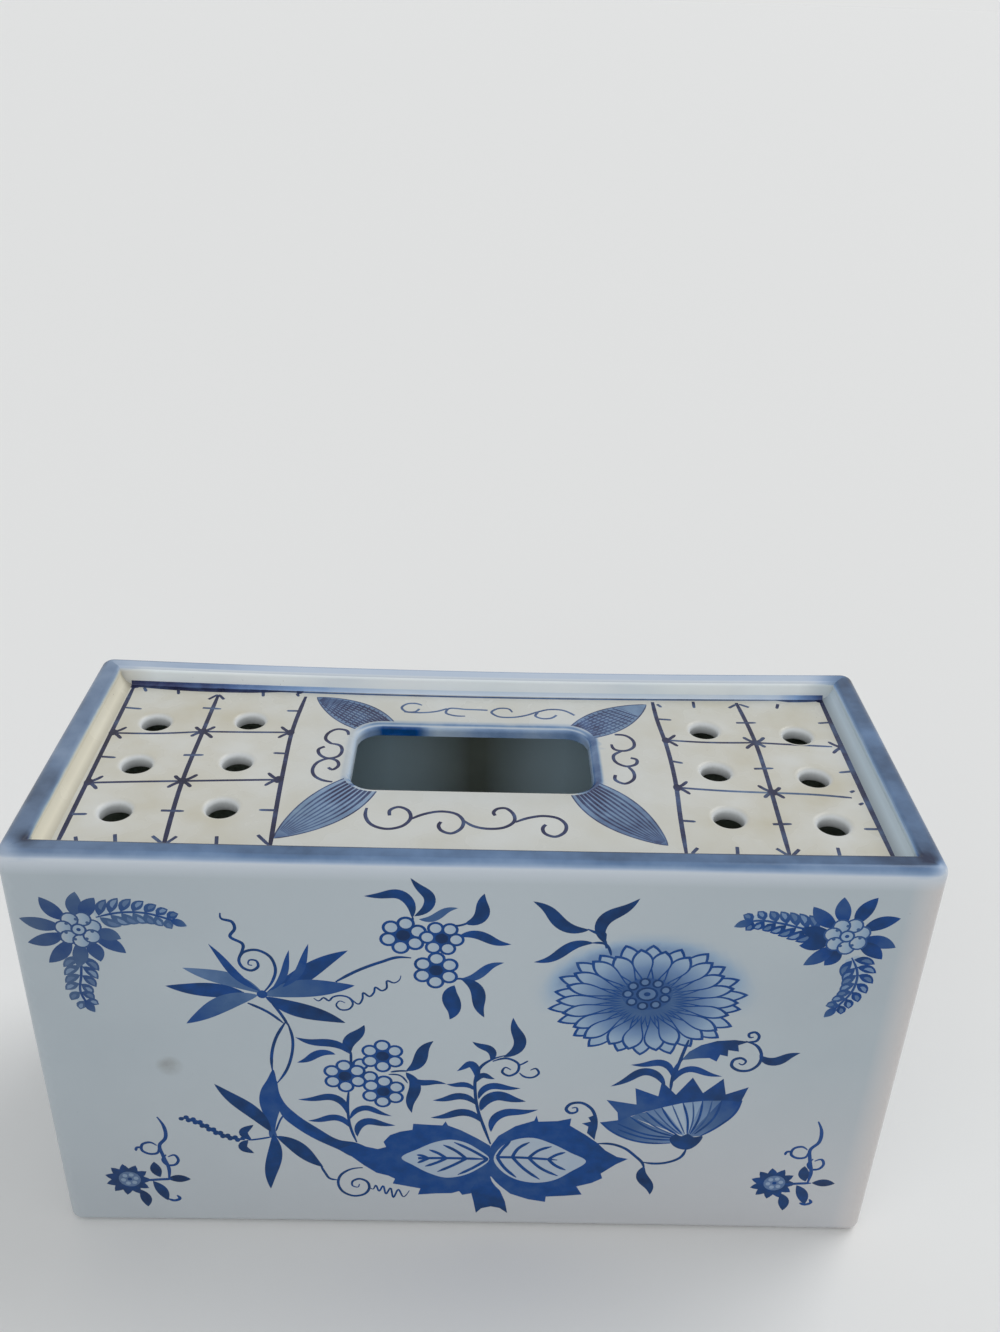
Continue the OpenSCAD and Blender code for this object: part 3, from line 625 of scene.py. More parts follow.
topBrush = {
    # width, ink, pressure at both ends and step of each kind of stroke
    "leftGrid": (1.1, (0.97, 0.92), (0.8, 0.7), 1.0), "rightGrid": (1.1, (0.9, 0.84), (0.8, 0.7), 1.0),
    "looks": {"ticks": (0.85, (0.86, 0.76), (0.9, 0.5)), "scrolls": (0.88, 0.9, (0.7, 0.9)),
              "fadedScrolls": (0.7, 0.68, (0.7, 0.9))},
    "seamLineLook": (0.85, (0.78, 0.66), (1, 1), 2.0), "seamShadeLook": (1.7, 0.86, (0.9, 0.9), 2.0),
    "rowLook": {"width": 0.8, "ends": (0.9, 0.7), "step": 1.0},
    "seamEndLook": {"width": 1.7, "ends": (1, 0.1)},
    "starLook": {"width": 1.0, "ends": (0.5, 0.5)}, "starReach": 2.5, "starSway": 0.4,
    "starInks": (0.94, 0.86), "starEyeInks": (1.0, 0.88),  # of the left and the right block
    "halfStarLook": {"width": 0.95, "ink": 0.92, "ends": (1, 0.5)},
    # size, ink, flatness and sides of the discs
    "halfStarDisc": (1.0, 1.0, 1.5, 14), "seamEndDisc": (1.5, 1.0, 0.8, 14),
    "seamBeadDisc": (0.95, 0.95, 1.2, 12),
    "grid": [
        [(-90.2, -32), (-90.6, 0), (-91, 35.6)], [(-67.4, -32), (-68.8, -8), (-68.6, 15), (-68.3, 33)],
        [(-44.6, -31), (-46.2, 0), (-46.6, 15), (-45.5, 33.5)],
        [(46.1, 34.5), (46.2, 27), (47.2, 12), (47.3, -3), (46.5, -18), (46, -31)],
        [(68.4, 34.5), (69.8, 15), (69.7, 0), (69.2, -15), (68.6, -32)],
        [(91.4, 35.6), (91.2, 0), (91.6, -32)],
    ],
    "rows": [  # drier strokes of the brush across the grid
        ([(-90.5, -9.2), (-80, -8.2), (-68.6, -7.3)], (0.95, 0.8)),
        ([(-68.6, -7.3), (-57, -6.4), (-47, -5.7)], (0.95, 0.88)),
        ([(-90.5, 12.6), (-80, 13), (-68.6, 14.6)], (0.86, 0.92)),
        ([(-68.6, 14.6), (-57, 15), (-46.8, 15.5)], (0.82, 0.9)),
        ([(47.8, 15.5), (57, 14.7), (69.7, 14.8)], (0.78, 0.95)),
        ([(69.7, 14.8), (80, 13.9), (88.8, 13.2)], (0.95, 0.8)),
        ([(47.5, -5.6), (57, -6.6), (69.7, -7.3)], (0.86, 0.62)),
        ([(69.7, -7.3), (80, -7.9), (88, -9)], (0.55, 0.85)),
    ],
    "stars": [(-68.6, 14.6), (-68.8, -7.3), (69.8, 14.7), (69.7, -7.1)],
    "halfStars": [  # place, and which way the two dabs point
        (-90.4, 12.8, 1), (-90.2, -8.9, 1), (-46.9, 15.4, -1), (-46.8, -5.6, -1),
        (47.3, 15.4, 1), (47.4, -5.6, 1), (91, 12.8, -1),
    ],
    "ticks": [
        [(-90.6, 24.8), (-86.2, 24.4)], [(-90.4, 1.9), (-86.7, 1.7)], [(-90.2, -21.5), (-86.9, -21.3)],
        [(-71, 26), (-66.2, 25.8)], [(-71, 3.7), (-66.2, 4)], [(-71, -19.2), (-65.8, -19.2)],
        [(-46.3, 26), (-49.4, 25.9)], [(-46.4, 5.7), (-49.7, 5.8)], [(-45.6, -18), (-49.2, -18)],
        [(46.3, 25.8), (50, 25.4)], [(47.4, 5.9), (50.2, 5)], [(46.6, -18.9), (49.8, -19.2)],
        [(66.6, 24.3), (71.8, 24.4)], [(67.2, 2.9), (72, 3.2)], [(67.2, -19.8), (71.6, -19.6)],
        [(91.2, 24.8), (87.8, 24.4)], [(91.2, 2.2), (87.6, 1.6)], [(91.4, -21.2), (87.6, -21.2)],
        [(-88.2, 35.2), (-87.2, 33.2)], [(-79.4, 35.6), (-78.6, 32.4)], [(-57, 35.4), (-56.6, 32.8)],
        [(-48, 35), (-47.4, 33.4)], [(57, 35), (56.8, 31.6)], [(79.4, 34), (78.6, 31.6)],
        [(47.2, 33.4), (48.2, 31.8)], [(-78.8, -28.4), (-77.8, -31.8)], [(-56.7, -28.2), (-56.1, -31.8)],
        [(-87, -29.6), (-86.2, -31.6)], [(57.6, -28.4), (57.2, -31.6)], [(79.9, -28.2), (79.6, -31.6)],
        [(48.8, -29), (47.2, -31.2)], [(-70.6, -28.7), (-67.8, -31.4)], [(-65.3, -28.6), (-67, -31.2)],
        [(-47.9, -27.4), (-45, -30.9)], [(66.2, -28.8), (68.4, -31.4)], [(71.2, -29), (69.2, -31.4)],
        [(66, 31.8), (68.3, 33.8)], [(71.4, 32.2), (69, 33.8)], [(-70.4, 30.4), (-68.5, 33)],
        [(-66.4, 30.6), (-68.2, 33)], [(88.2, -6.8), (89.4, -6)], [(89, -11.8), (90.2, -11)],
    ],
    "scrolls": [
        [(-25, -16.2), (-25, -19.5), (-23.4, -22.6), (-19.8, -24.1), (-16.4, -22.8), (-14.8, -19.6),
         (-15.8, -16.6), (-17.8, -15.6), (-19.6, -16.8), (-19.6, -19)],
        [(-15, -20.4), (-11.5, -18), (-7.6, -17), (-4.4, -18), (-2.9, -20.6), (-3.5, -23.6), (-5.6, -25.3),
         (-7.8, -24.2), (-8.4, -22.2), (-7.9, -21)],
        [(-2.8, -20.4), (-0.6, -22.4), (3, -23.3), (6.6, -22.5), (8.6, -20.2), (8.3, -17.2), (6.5, -15.2),
         (4.7, -15.6), (3.9, -17.1), (4.3, -18.2)],
        [(8.8, -20.6), (12, -18.8), (15.5, -18), (18.8, -19), (20.2, -21.3), (19.6, -24.3), (17.5, -25.8),
         (15.3, -24.6), (15, -22.4), (15.7, -21.3)],
        [(-32.4, 15), (-33, 17), (-35.5, 17.6), (-37.5, 15.6), (-37.8, 12.8), (-36.2, 10.8)],
        [(-36.4, 10.8), (-34, 10), (-33.2, 7.5), (-34, 5), (-36.2, 4.1), (-38.5, 5.8), (-38.9, 8.2),
         (-37.6, 9.3)],
        [(-34, -6), (-36.2, -5.5), (-38.6, -3.5), (-39.3, -0.4), (-38.2, 2.6), (-35.8, 4), (-33.9, 3),
         (-33.4, 0.8), (-34.7, -0.8), (-35.7, 0.1)],
        [(33.4, 13.2), (34, 10.8), (36.4, 10.2), (38.8, 12), (39, 15), (37.3, 17.4), (34.6, 17.8)],
        [(35.8, 10.1), (33.5, 8), (33.8, 5), (36.4, 3.2), (38.8, 4.5), (38.9, 6.4), (37.6, 7)],
        [(36.5, 3.2), (37.7, 0.5), (37.3, -2.5), (35, -4.3), (33, -2.8), (33.2, -0.6)],
    ],
    "fadedScrolls": [
        [(-14.8, 30.6), (-16.2, 31.4), (-18.6, 31.2), (-20, 29.2), (-18.8, 27.2), (-16.2, 27.4),
         (-15.4, 28.8)],
        [(-19.2, 27), (-14, 26.9), (-10.5, 27.8), (-8.2, 29.2)],
        [(-3.4, 25.6), (-6.2, 25.7), (-8.4, 27), (-8, 28.9), (-3, 29), (2.4, 28.8)],
        [(8.8, 28), (8, 29.6), (5.2, 29.8), (3.4, 27.8), (5, 25.8), (8.4, 25.4), (12, 26.4), (15.4, 28.4),
         (18.2, 29.7), (22, 29.5), (25, 27)],
        [(15.6, 28.2), (14.8, 26.3), (16.2, 25.2), (19, 25.5), (20.3, 27)],
    ],
    "seamBeads": [-79.6, -68.3, -56.8, -47.4], "seamY": 35.9,
    "seamEnds": [(-90.8, 1, 42, 0.95), (91.2, -1, 12, 0.82)],  # place, way, reach and ink of each end
    "seamShade": [(91.5, 35.6), (91.3, 12), (91.3, -6), (91.7, -33)],
    "seamLine": [(-91.2, 36.4), (-80, 36.2), (-60, 35.9), (-30, 35.6), (0, 35.5), (30, 35.6), (60, 35.9),
                 (80, 36.2), (91.4, 36.4)],
}

# width of a fan's edge line, and how its ribs and its hatching are drawn
fanLook = {"edge": 0.4, "edgeInk": 0.8, "ribSpan": 0.86, "ribHalf": (0.42, 0.14), "ribInk": 0.92,
           "hatchSpan": 0.93, "hatch": (0.45, 0.84, (1, 1), 2.0)}

# base, middle and tip of each fan, its width, the ink from base to tip, its ribs, and whether it is hatched
topFans = [
    {"path": [(-26, -5), (-34.2, -16.5), (-44.4, -28.6)], "width": 12.5, "ink": (0.38, 0.6),
     "ribs": 8, "ribReach": 0.9, "ribFade": 0.7, "hatch": False},
    {"path": [(25, -6), (32.6, -16.5), (42.4, -28.4)], "width": 12.5, "ink": (0.5, 0.64),
     "ribs": 8, "ribReach": 0.95, "ribFade": 0.8, "hatch": False},
    {"path": [(-23.5, 18.6), (-32.5, 26), (-42.6, 33.4)], "width": 11.5, "ink": (0.52, 0.6),
     "ribs": 9, "ribReach": 0.94, "ribFade": 0.84, "hatch": True},
    {"path": [(25.4, 18.2), (34.5, 25.4), (44.4, 33.2)], "width": 11.0, "ink": (0.6, 0.5),
     "ribs": 8, "ribReach": 0.78, "ribFade": 0.66, "hatch": True},
]


def paintFan(art, fan):
    path = through(fan["path"], 0.8)
    half = fan["width"] / 2 * np.sin(math.pi * (0.2 + 0.8 * runOf(path))) ** 0.8
    inner = np.maximum(half - fanLook["edge"], 0.02)
    band(art, path, half, fanLook["edgeInk"])
    band(art, path, inner, fan["ink"])
    reach = max(4, int(len(path) * fan["ribReach"]))
    for k in range(fan["ribs"]):
        side = -fanLook["ribSpan"] + 2 * fanLook["ribSpan"] * (k + 0.5) / fan["ribs"]
        rib = beside(path, inner * side)[:reach]
        band(art, rib, np.linspace(*fanLook["ribHalf"], len(rib)), (fanLook["ribInk"], fan["ribFade"]))
    if fan["hatch"]:
        left, right = [beside(path, way * inner * fanLook["hatchSpan"]) for way in (1, -1)]
        for k in range(2, reach - 3, 2):
            stroke(art, [left[k], right[min(k + 3, len(path) - 2)]], *fanLook["hatch"])


def paintStar(art, k, x, y):
    brush, block = topBrush, int(x > 0)
    for dx, dy in ((1, 1), (1, -1), (-1, 1), (-1, -1)):
        far = brush["starReach"] + brush["starSway"] * math.sin(5 * k + 2 * dx + dy)
        dab = [(x + 0.5 * dx, y + 0.4 * dy), (x + 1.5 * dx, y + 1.2 * dy), (x + far * dx, y + far * dy)]
        stroke(art, dab, ink=brush["starInks"][block], **brush["starLook"])
    disc(art, (x, y), 1.25, brush["starEyeInks"][block], 1.1, 14)


def paintHalfStar(art, x, y, way):
    for dy in (1, -1):
        dab = [(x, y), (x + 1.4 * way, y + 1.1 * dy), (x + 2.7 * way, y + 2.7 * dy)]
        stroke(art, dab, **topBrush["halfStarLook"])
    disc(art, (x, y), *topBrush["halfStarDisc"])


def paintTop():
    art = []
    brush, seamY = topBrush, topBrush["seamY"]
    for fan in topFans:
        paintFan(art, fan)
    for line in brush["grid"]:
        stroke(art, line, *brush["leftGrid" if line[0][0] < 0 else "rightGrid"])
    for line, ink in brush["rows"]:
        stroke(art, line, ink=ink, **brush["rowLook"])
    for k, (x, y) in enumerate(brush["stars"]):
        paintStar(art, k, x, y)
    for x, y, way in brush["halfStars"]:
        paintHalfStar(art, x, y, way)
    for kind, look in brush["looks"].items():
        for line in brush[kind]:
            stroke(art, line, *look)
    stroke(art, brush["seamLine"], *brush["seamLineLook"])
    stroke(art, brush["seamShade"], *brush["seamShadeLook"])
    for x, way, reach, ink in brush["seamEnds"]:
        line = [(x, seamY + 0.5), (x + 3 * way, seamY + 0.1), (x + reach * way, seamY)]
        stroke(art, line, ink=ink, **brush["seamEndLook"])
        disc(art, (x, seamY), *brush["seamEndDisc"])
    for x in brush["seamBeads"]:
        disc(art, (x, seamY), *brush["seamBeadDisc"])
    return art


# sheets: flat pieces cut up along the brush strokes, so that every stroke has a crisp edge

def inside(points, outline):
    # winding test of many points against one outline
    x, y = points[:, 0], points[:, 1]
    turns = np.zeros(len(points), int)
    x0, y0 = outline[:, 0], outline[:, 1]
    x1, y1 = np.roll(x0, -1), np.roll(y0, -1)
    for ax, ay, bx, by in zip(x0, y0, x1, y1):
        side = (bx - ax) * (y - ay) - (x - ax) * (by - ay)
        turns += ((ay <= y) & (by > y) & (side > 0)).astype(int)
        turns -= ((ay > y) & (by <= y) & (side < 0)).astype(int)
    return turns != 0


def cutSheet(border, holes, art, support, haze=None, spacing=2.2):
    low, high = border.min(0), border.max(0)
    loops = [border] + holes
    for outline, inks, base, tip in art:
        loops.append(np.clip(outline, low + 0.3, high - 0.3))
    verts, edges = [], []
    for loop in loops:
        first, count = len(verts), len(loop)
        verts.extend(map(tuple, loop))
        edges.extend((first + i, first + (i + 1) % count) for i in range(count))
    verts.extend(map(tuple, support))
    nx, ny = [int((high[i] - low[i]) / spacing) for i in (0, 1)]
    for i in range(1, nx):
        for j in range(1, ny):
            x = low[0] + (i + 0.5 * (j % 2)) * (high[0] - low[0]) / (nx + 0.5)
            verts.append((x, low[1] + j * (high[1] - low[1]) / ny))
    points, _, faces, _, _, _ = delaunay_2d_cdt(verts, edges, [], 0, 0.002, False)
    pts = np.round(np.array([tuple(p) for p in points]), 4)
    tris = np.array(faces)
    a, b, c = pts[tris[:, 0]], pts[tris[:, 1]], pts[tris[:, 2]]
    area = np.abs((b[:, 0] - a[:, 0]) * (c[:, 1] - a[:, 1]) - (c[:, 0] - a[:, 0]) * (b[:, 1] - a[:, 1]))
    middle = (a + b + c) / 3
    keep = (area > 1e-7) & inside(middle, border)
    for hole in holes:
        keep &= ~inside(middle, hole)
    tris, middle = tris[keep], middle[keep]
    ink = np.zeros((len(tris), 3))
    if haze is not None:
        ink[:] = haze(pts[:, 0], pts[:, 1])[tris]
    for outline, inks, base, tip in art:
        lo, hi = outline.min(0), outline.max(0)
        near = np.nonzero(np.all((middle >= lo) & (middle <= hi), axis=1))[0]
        near = near[inside(middle[near], outline)]
        along = tip - base
        where = np.clip(((pts[tris[near]] - base) @ along) / max(along @ along, 1e-9), 0, 1)
        ink[near] = inks[0] + (inks[1] - inks[0]) * where
    return pts, tris, ink


def addPiece(node, mesh):
    piece = bpy.data.objects.new(node + "_glazed", mesh)
    scene.collection.objects.link(piece)
    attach(piece, "root")
    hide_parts(node)


def makePiece(node, parts, materials):
    # parts: points, faces, normals of the points, ink at the faces' corners, material index
    points = np.vstack([p[0] for p in parts])
    start = np.cumsum([0] + [len(p[0]) for p in parts])
    keys, back = np.unique(np.round(points, 3), axis=0, return_inverse=True)
    back = back.reshape(-1)
    faces, inks, normals, slots = [], [], [], []
    for first, (pts, tris, aims, ink, index) in zip(start, parts):
        for face, faceInk in zip(tris, ink):
            face, faceInk = list(face), list(faceInk)
            welded = [int(back[first + i]) for i in face]
            if len(set(welded)) < len(welded):
                spare = [k for k in range(len(welded)) if welded[k] != welded[k - 1]]
                if len(spare) < 3:
                    continue
                face, faceInk, welded = [[v[k] for k in spare] for v in (face, faceInk, welded)]
            p = pts[face]
            flat = sum(np.cross(p[k] - p[0], p[k + 1] - p[0]) for k in range(1, len(face) - 1))
            if flat @ aims[face].sum(0) < 0:
                face, faceInk, welded = face[::-1], faceInk[::-1], welded[::-1]
            faces.append(welded)
            inks.extend(faceInk)
            normals.extend(map(tuple, aims[face]))
            slots.append(index)
    mesh = bpy.data.meshes.new(node + "_glazed")
    mesh.from_pydata((settle(keys) * mm).tolist(), [], faces)
    mesh.attributes.new("ink", "FLOAT", "CORNER").data.foreach_set("value", inks)
    mesh.shade_smooth()
    for material in materials:
        mesh.materials.append(material)
    mesh.polygons.foreach_set("material_index", slots)
    mesh.normals_split_custom_set(normals)
    addPiece(node, mesh)
    print(mesh.name, len(mesh.vertices), "points", len(faces), "faces")


def gridFaces(rows, columns, skip=()):
    faces = []
    for i in range(rows - 1):
        for j in range(columns - 1):
            if j not in skip:
                here, there = i * columns + j, (i + 1) * columns + j
                faces.append((here, there, there + 1, here + 1))
    return np.array(faces)


def ringFaces(rings, count):
    faces = []
    for k in range(rings - 1):
        for i in range(count):
            here, following = k * count + i, k * count + (i + 1) % count
            faces.append((here, following, following + count, here + count))
    return np.array(faces)


# the cobalt band brushed along the rim: ink by the angle round the rim, 0 outside, 90 on top, 180 inside
rimBand = {
    "front": [(24, 0), (40, 0.36), (58, 0.54), (84, 0.62), (96, 0.72), (106, 0.98), (150, 1), (176, 0.3),
              (192, 0)],
    "back": [(12, 0), (30, 0.7), (58, 0.84), (68, 0.6), (80, 0.3), (92, 0.1), (110, 0)],
    "left": [(2, 0), (16, 0.5), (40, 0.62), (76, 0.58), (98, 0.56), (120, 0.52), (142, 0.4), (160, 0.16),
             (176, 0)],
    "right": [(2, 0), (14, 0.6), (40, 0.78), (76, 0.74), (100, 0.7), (124, 0.62), (142, 0.36), (160, 0.14),
              (178, 0)],
    "wave": 0.14,  # how unevenly the brush ran
    "waves": [(0.5, 0.083, 0.21, 0, 0.6), (0.3, 0.19, -0.33, 0, 2.0), (0.2, 0.41, 0.5, 0.04, 0)],
    "slip": 12, "slipFrom": (40, 90),  # how far it slipped down the front's right end, in degrees, and where
    "blend": 11,  # length over which one wall's band runs into the next, in millimetres
    # place, size and extra ink of wetter and drier spots
    "spots": [(96.2, -38.2, 1.8, 0.6), (99.6, -41.6, 3.4, -0.55), (-94.4, -37, 2.2, 0.35), (96, 38.5, 5, 0.3),
              (-98, -40.5, 3, -0.3), (-75, 40, 20, 0.16), (-98, -24, 15, 0.15)],
}


def rimInk(side, neighbours, angle, along, reach, x, y):
    # the brush ran wet and dry along the four rims
    if side == "front":
        angle = angle + rimBand["slip"] * fade(x, *rimBand["slipFrom"])
    ink = np.interp(angle, *zip(*rimBand[side]))
    for way, other in zip((-1, 1), neighbours):
        share = 0.5 * fade(reach - way * along, rimBand["blend"], 0) ** 1.5
        ink = ink * (1 - share) + share * np.interp(angle, *zip(*rimBand[other]))
    wave = 0
    for size, byX, byY, byAngle, begin in rimBand["waves"]:
        wave = wave + size * np.sin(byX * x + byY * y + byAngle * angle + begin)
    ink = ink * (1 + rimBand["wave"] * wave)
    for sx, sy, size, extra in rimBand["spots"]:
        ink = ink + extra * np.exp(-((x - sx) ** 2 + (y - sy) ** 2) / size ** 2) * (ink > 0.05)
    return np.clip(ink, 0, 1)


# how finely a wall is divided: rows up its face and round its edges, heights inside, and steps along it
wallMesh = {"faceRows": 51, "footRows": 11, "rimRows": 16, "innerRows": (80, 55, 30, 7),
            "spacing": 2.4, "endSteps": 7, "turnSteps": 11}


def arcRows(away, height, radius, begin, end, count):
    degrees = np.linspace(begin, end, count)
    outward, upward = np.cos(np.radians(degrees)), np.sin(np.radians(degrees))
    return list(together(away + radius * outward, height + radius * upward, outward, upward, degrees))


def wallSection():
    # distance out from the corner's axis, height, outward part, upward part, angle round the rim
    foot, rim, lip = brick["footRound"], brick["rimOuter"], rimCoat["round"]
    high, top = brick["height"], brick["topZ"]
    inner = outerCorner - brick["wall"]
    edge = inner - rimCoat["fuller"]
    belowRim = 200  # stands for the angle where the band is over
    rows = np.round(np.linspace(foot, high - rim, wallMesh["faceRows"]), 2)
    out = [(away, 0, 0, -1, -90) for away in (inner, 0, outerCorner - foot)]
    out += arcRows(outerCorner - foot, foot, foot, -90, 0, wallMesh["footRows"])[1:]
    out += [(outerCorner, z, 1, 0, 0) for z in rows[1:]]
    out += arcRows(outerCorner - rim, high - rim, rim, 0, 90, wallMesh["rimRows"])[1:]
    out += [(0, high, 0, 1, 90)]
    out += arcRows(edge + lip, high - lip, lip, 90, 180, wallMesh["rimRows"])
    out += [(edge, z, -1, 0, belowRim) for z in (top + 1.6, top - 0.2)]
    for z in (top - 0.4, topUnder, *wallMesh["innerRows"], brick["floorUnder"], 0):
        out.append((inner, z, -1, 0, belowRim))
    return np.array(out, float), rows


def wallParts(halfLength, halfDepth, art=None, haze=None):
    # a wall in the place of the front one: it faces -Y
    section, rows = wallSection()
    run = halfLength - outerCorner
    soft = rimCoat["softSeam"]
    steps = np.linspace(soft - run, run - soft, 2 * round((run - soft) / wallMesh["spacing"]) + 1)
    ends = run - soft * np.linspace(1, 0, wallMesh["endSteps"])[1:]
    bend = run + outerCorner * np.radians(np.linspace(0, 45, wallMesh["turnSteps"]))[1:]
    stations = np.round(np.concatenate([-bend[::-1], -ends[::-1], steps, ends, bend]), 2)
    s, z, outward, upward, angle = section.T

    def place(along, away):
        turn = np.sign(along) * np.maximum(np.abs(along) - run, 0) / outerCorner
        out, within = np.maximum(away, 0), np.minimum(away, 0)
        x = np.clip(along, -run, run) * (1 + within / run) + out * np.sin(turn)
        y = outerCorner - halfDepth - within - out * np.cos(turn)
        bent = np.clip((np.abs(along) - run + soft) / soft, 0, 1) ** 1.6 * math.pi / 4
        return x, y, np.where(away < 0, np.sign(along) * bent, turn)

    x, y, turn = place(stations[:, None], s)
    pts = together(x, y, z)
    aims = together(outward * np.sin(turn), -outward * np.cos(turn), upward)
    rim = together(angle, stations[:, None])
    face = [k for k in range(len(s)) if s[k] > outerCorner - 0.001 and rows[0] <= z[k] <= rows[-1]]
    quads = gridFaces(len(stations), len(s), range(face[0], face[-1]) if art else ())
    column = quads % len(s)
    within = (angle[column].min(1) >= 135) & (z[column].max(1) > brick["floorUnder"])
    deep = within & (z[column].max(1) <= topUnder)
    kinds = ((~within, 0), (within & ~deep, 2), (deep, 1))
    parts = [(pts, quads[chosen], aims, rim, index) for chosen, index in kinds]
    if art:
        border = np.vstack([together(stations[:-1], rows[0]), together(stations[-1], rows[:-1]),
                            together(stations[:0:-1], rows[-1]), together(stations[0], rows[:0:-1])])
        inset = np.clip(border, border.min(0) + 0.5, border.max(0) - 0.5)
        flat, tris, ink = cutSheet(border, [], art, inset, haze)
        x, y, turn = place(flat[:, 0], outerCorner)
        parts.append((together(x, y, flat[:, 1]), tris, together(np.sin(turn), -np.cos(turn), 0), ink, 0))
    mitre = math.sin(math.pi / 4)
    for end, way in ((0, -1), (len(stations) - 1, 1)):
        cap = np.arange(end * len(s), (end + 1) * len(s))
        parts.append((pts, cap[None, :], np.tile([way * mitre, mitre, 0.0], (len(pts), 1)), rim, 0))
    return parts


def turned(points, degrees):
    a = math.radians(degrees)
    x, y = points[:, 0], points[:, 1]
    return together(x * math.cos(a) - y * math.sin(a), x * math.sin(a) + y * math.cos(a), points[:, 2])


def wallPiece(side, neighbours, halfLength, halfDepth, degrees, materials, art=None, haze=None):
    parts = []
    reach = halfLength - outerCorner + outerCorner * math.pi / 4
    for pts, faces, aims, ink, index in wallParts(halfLength, halfDepth, art, haze):
        pts, aims = turned(pts, degrees), turned(aims, degrees)
        if len(ink) == len(pts):  # places on the rim, one for each point
            ink = rimInk(side, neighbours, ink[:, 0], ink[:, 1], reach, pts[:, 0], pts[:, 1])[faces]
        parts.append((pts, faces, aims, ink, index))
    node = side + ("_wall" if side in ("front", "back") else "_end_wall")
    makePiece(node, parts, materials)


# the sunken top with its lipped holes

topSlab = {
    "opening": (58, 28), "openingCorner": 6, "openingAt": (-1.2, 6.3), "openingLip": 1.8,
    "holeD": 7, "holeLip": 1.4, "holeX": (81.2, 57.8), "holePitchY": 19,
    "holeSetback": 0.6, "holeStagger": 2.2,
    "boreShadeFrom": 0.8, "boreShadeRate": 0.4, "boreShadeMost": 0.6,  # painted shade: how the bare bores darken on the way down
}
# the blue brushed unevenly over the lip of the opening, in millimetres from its middle;
# the way down the lip runs from 0, the flat, to 1, the lip's foot
lipBrush = {
    "back": (10, 13), "right": (24, 28), "left": (-25, -29),  # where the blue of each side begins and is full
    "edgeInk": 0.55, "edgeDown": 0.12, "edgeWide": 0.2, "faceDown": (0.25, 0.45),
    # place along the back, and its ink
    "face": [(-26, 0.5), (-24, 0.66), (-23, 0.98), (-14, 0.95), (-12.5, 0.44), (-9, 0.26), (-2, 0.3),
             (2, 0.5), (6, 0.52), (12, 0.4), (20, 0.42), (26, 0.6), (30, 0.55)],
    "rightInks": (0.34, 0.64), "leftInk": 0.16,
    "ribInk": 0.55, "ribsAt": (27.5, -12.5), "ribsReach": 3,
    "bleed": 0.9, "wash": 0.04, "washReach": 11, "washCorner": 5,
}


def roundedLoop(size, corner, centre, spacing=2.0, perCorner=8):
    middles = (np.array(size) / 2 - corner) * [(1, 1), (-1, 1), (-1, -1), (1, -1)]
    loop = []
    for k, (middle, following) in enumerate(zip(middles, np.roll(middles, -1, 0))):
        a = np.radians(np.linspace(90 * k, 90 * k + 90, perCorner + 1))
        arc = middle + corner * together(np.cos(a), np.sin(a))
        way = following - middle
        count = int(np.hypot(*way) / spacing)
        loop += [arc, arc[-1] + way * np.linspace(0, 1, count + 1)[1:-1, None]]
    return np.round(np.vstack(loop) + centre, 2)


def outwards(loop):
    heading = np.roll(loop, -1, 0) - np.roll(loop, 1, 0)
    return together(heading[:, 1], -heading[:, 0]) / np.hypot(heading[:, 0], heading[:, 1])[:, None]


def lipInk(x, y, down):
    brush = lipBrush
    dx, dy = x - topSlab["openingAt"][0], y - topSlab["openingAt"][1]
    back = fade(dy, *brush["back"])
    lower, upper = brush["rightInks"]
    right = fade(dx, *brush["right"]) * (1 - back) * np.where(down < 0.5, upper, lower)
    left = fade(dx, *brush["left"]) * (1 - back) * brush["leftInk"]
    edge = brush["edgeInk"] * fade(np.abs(down - brush["edgeDown"]), brush["edgeWide"], 0)
    face = np.interp(dx, *zip(*brush["face"])) * fade(down, *brush["faceDown"])
    ribX, ribY = brush["ribsAt"]
    near = np.exp(-((np.abs(dx) - ribX) ** 2 + (dy - ribY) ** 2) / brush["ribsReach"] ** 2)
    ribs = brush["ribInk"] * near * (0.7 + 0.5 * np.sin(2.4 * (dx - dy)))
    return np.clip(back * np.maximum(edge, face) + right + left + ribs, 0, 1)


def topHaze(x, y):
    # the blue of the opening's edge bleeds a little on to the flat, and a faint wash lies round it
    corner = lipBrush["washCorner"]
    centre, size = topSlab["openingAt"], topSlab["opening"]
    dx, dy = [np.maximum(np.abs(v - centre[i]) - size[i] / 2 + corner, 0) for i, v in enumerate((x, y))]
    gap = np.hypot(dx, dy) - corner
    bleed = lipInk(x, y, 0) * fade(gap - topSlab["openingLip"], lipBrush["bleed"], 0)
    return np.maximum(lipBrush["wash"] * fade(gap, lipBrush["washReach"], 0), bleed)


def lippedShaft(loop, centre, lip):
    # the rings of a hole from the flat over its lip to the underside, and the way that each ring faces
    out = outwards(loop)
    rings, aims = [], []
    for a in np.radians(np.linspace(0, 90, 11)):
        rings.append((loop + centre + out * lip * (1 - math.sin(a)), brick["topZ"] - lip + lip * math.cos(a)))
        aims.append((-out * math.sin(a), math.cos(a)))
    for z in (brick["topZ"] - lip - 0.5, topUnder):
        rings.append((loop + centre, z))
        aims.append((-out, 0.0))
    for k in (0, -1):
        rings[k] = (np.round(rings[k][0], 2), rings[k][1])
    return rings, aims


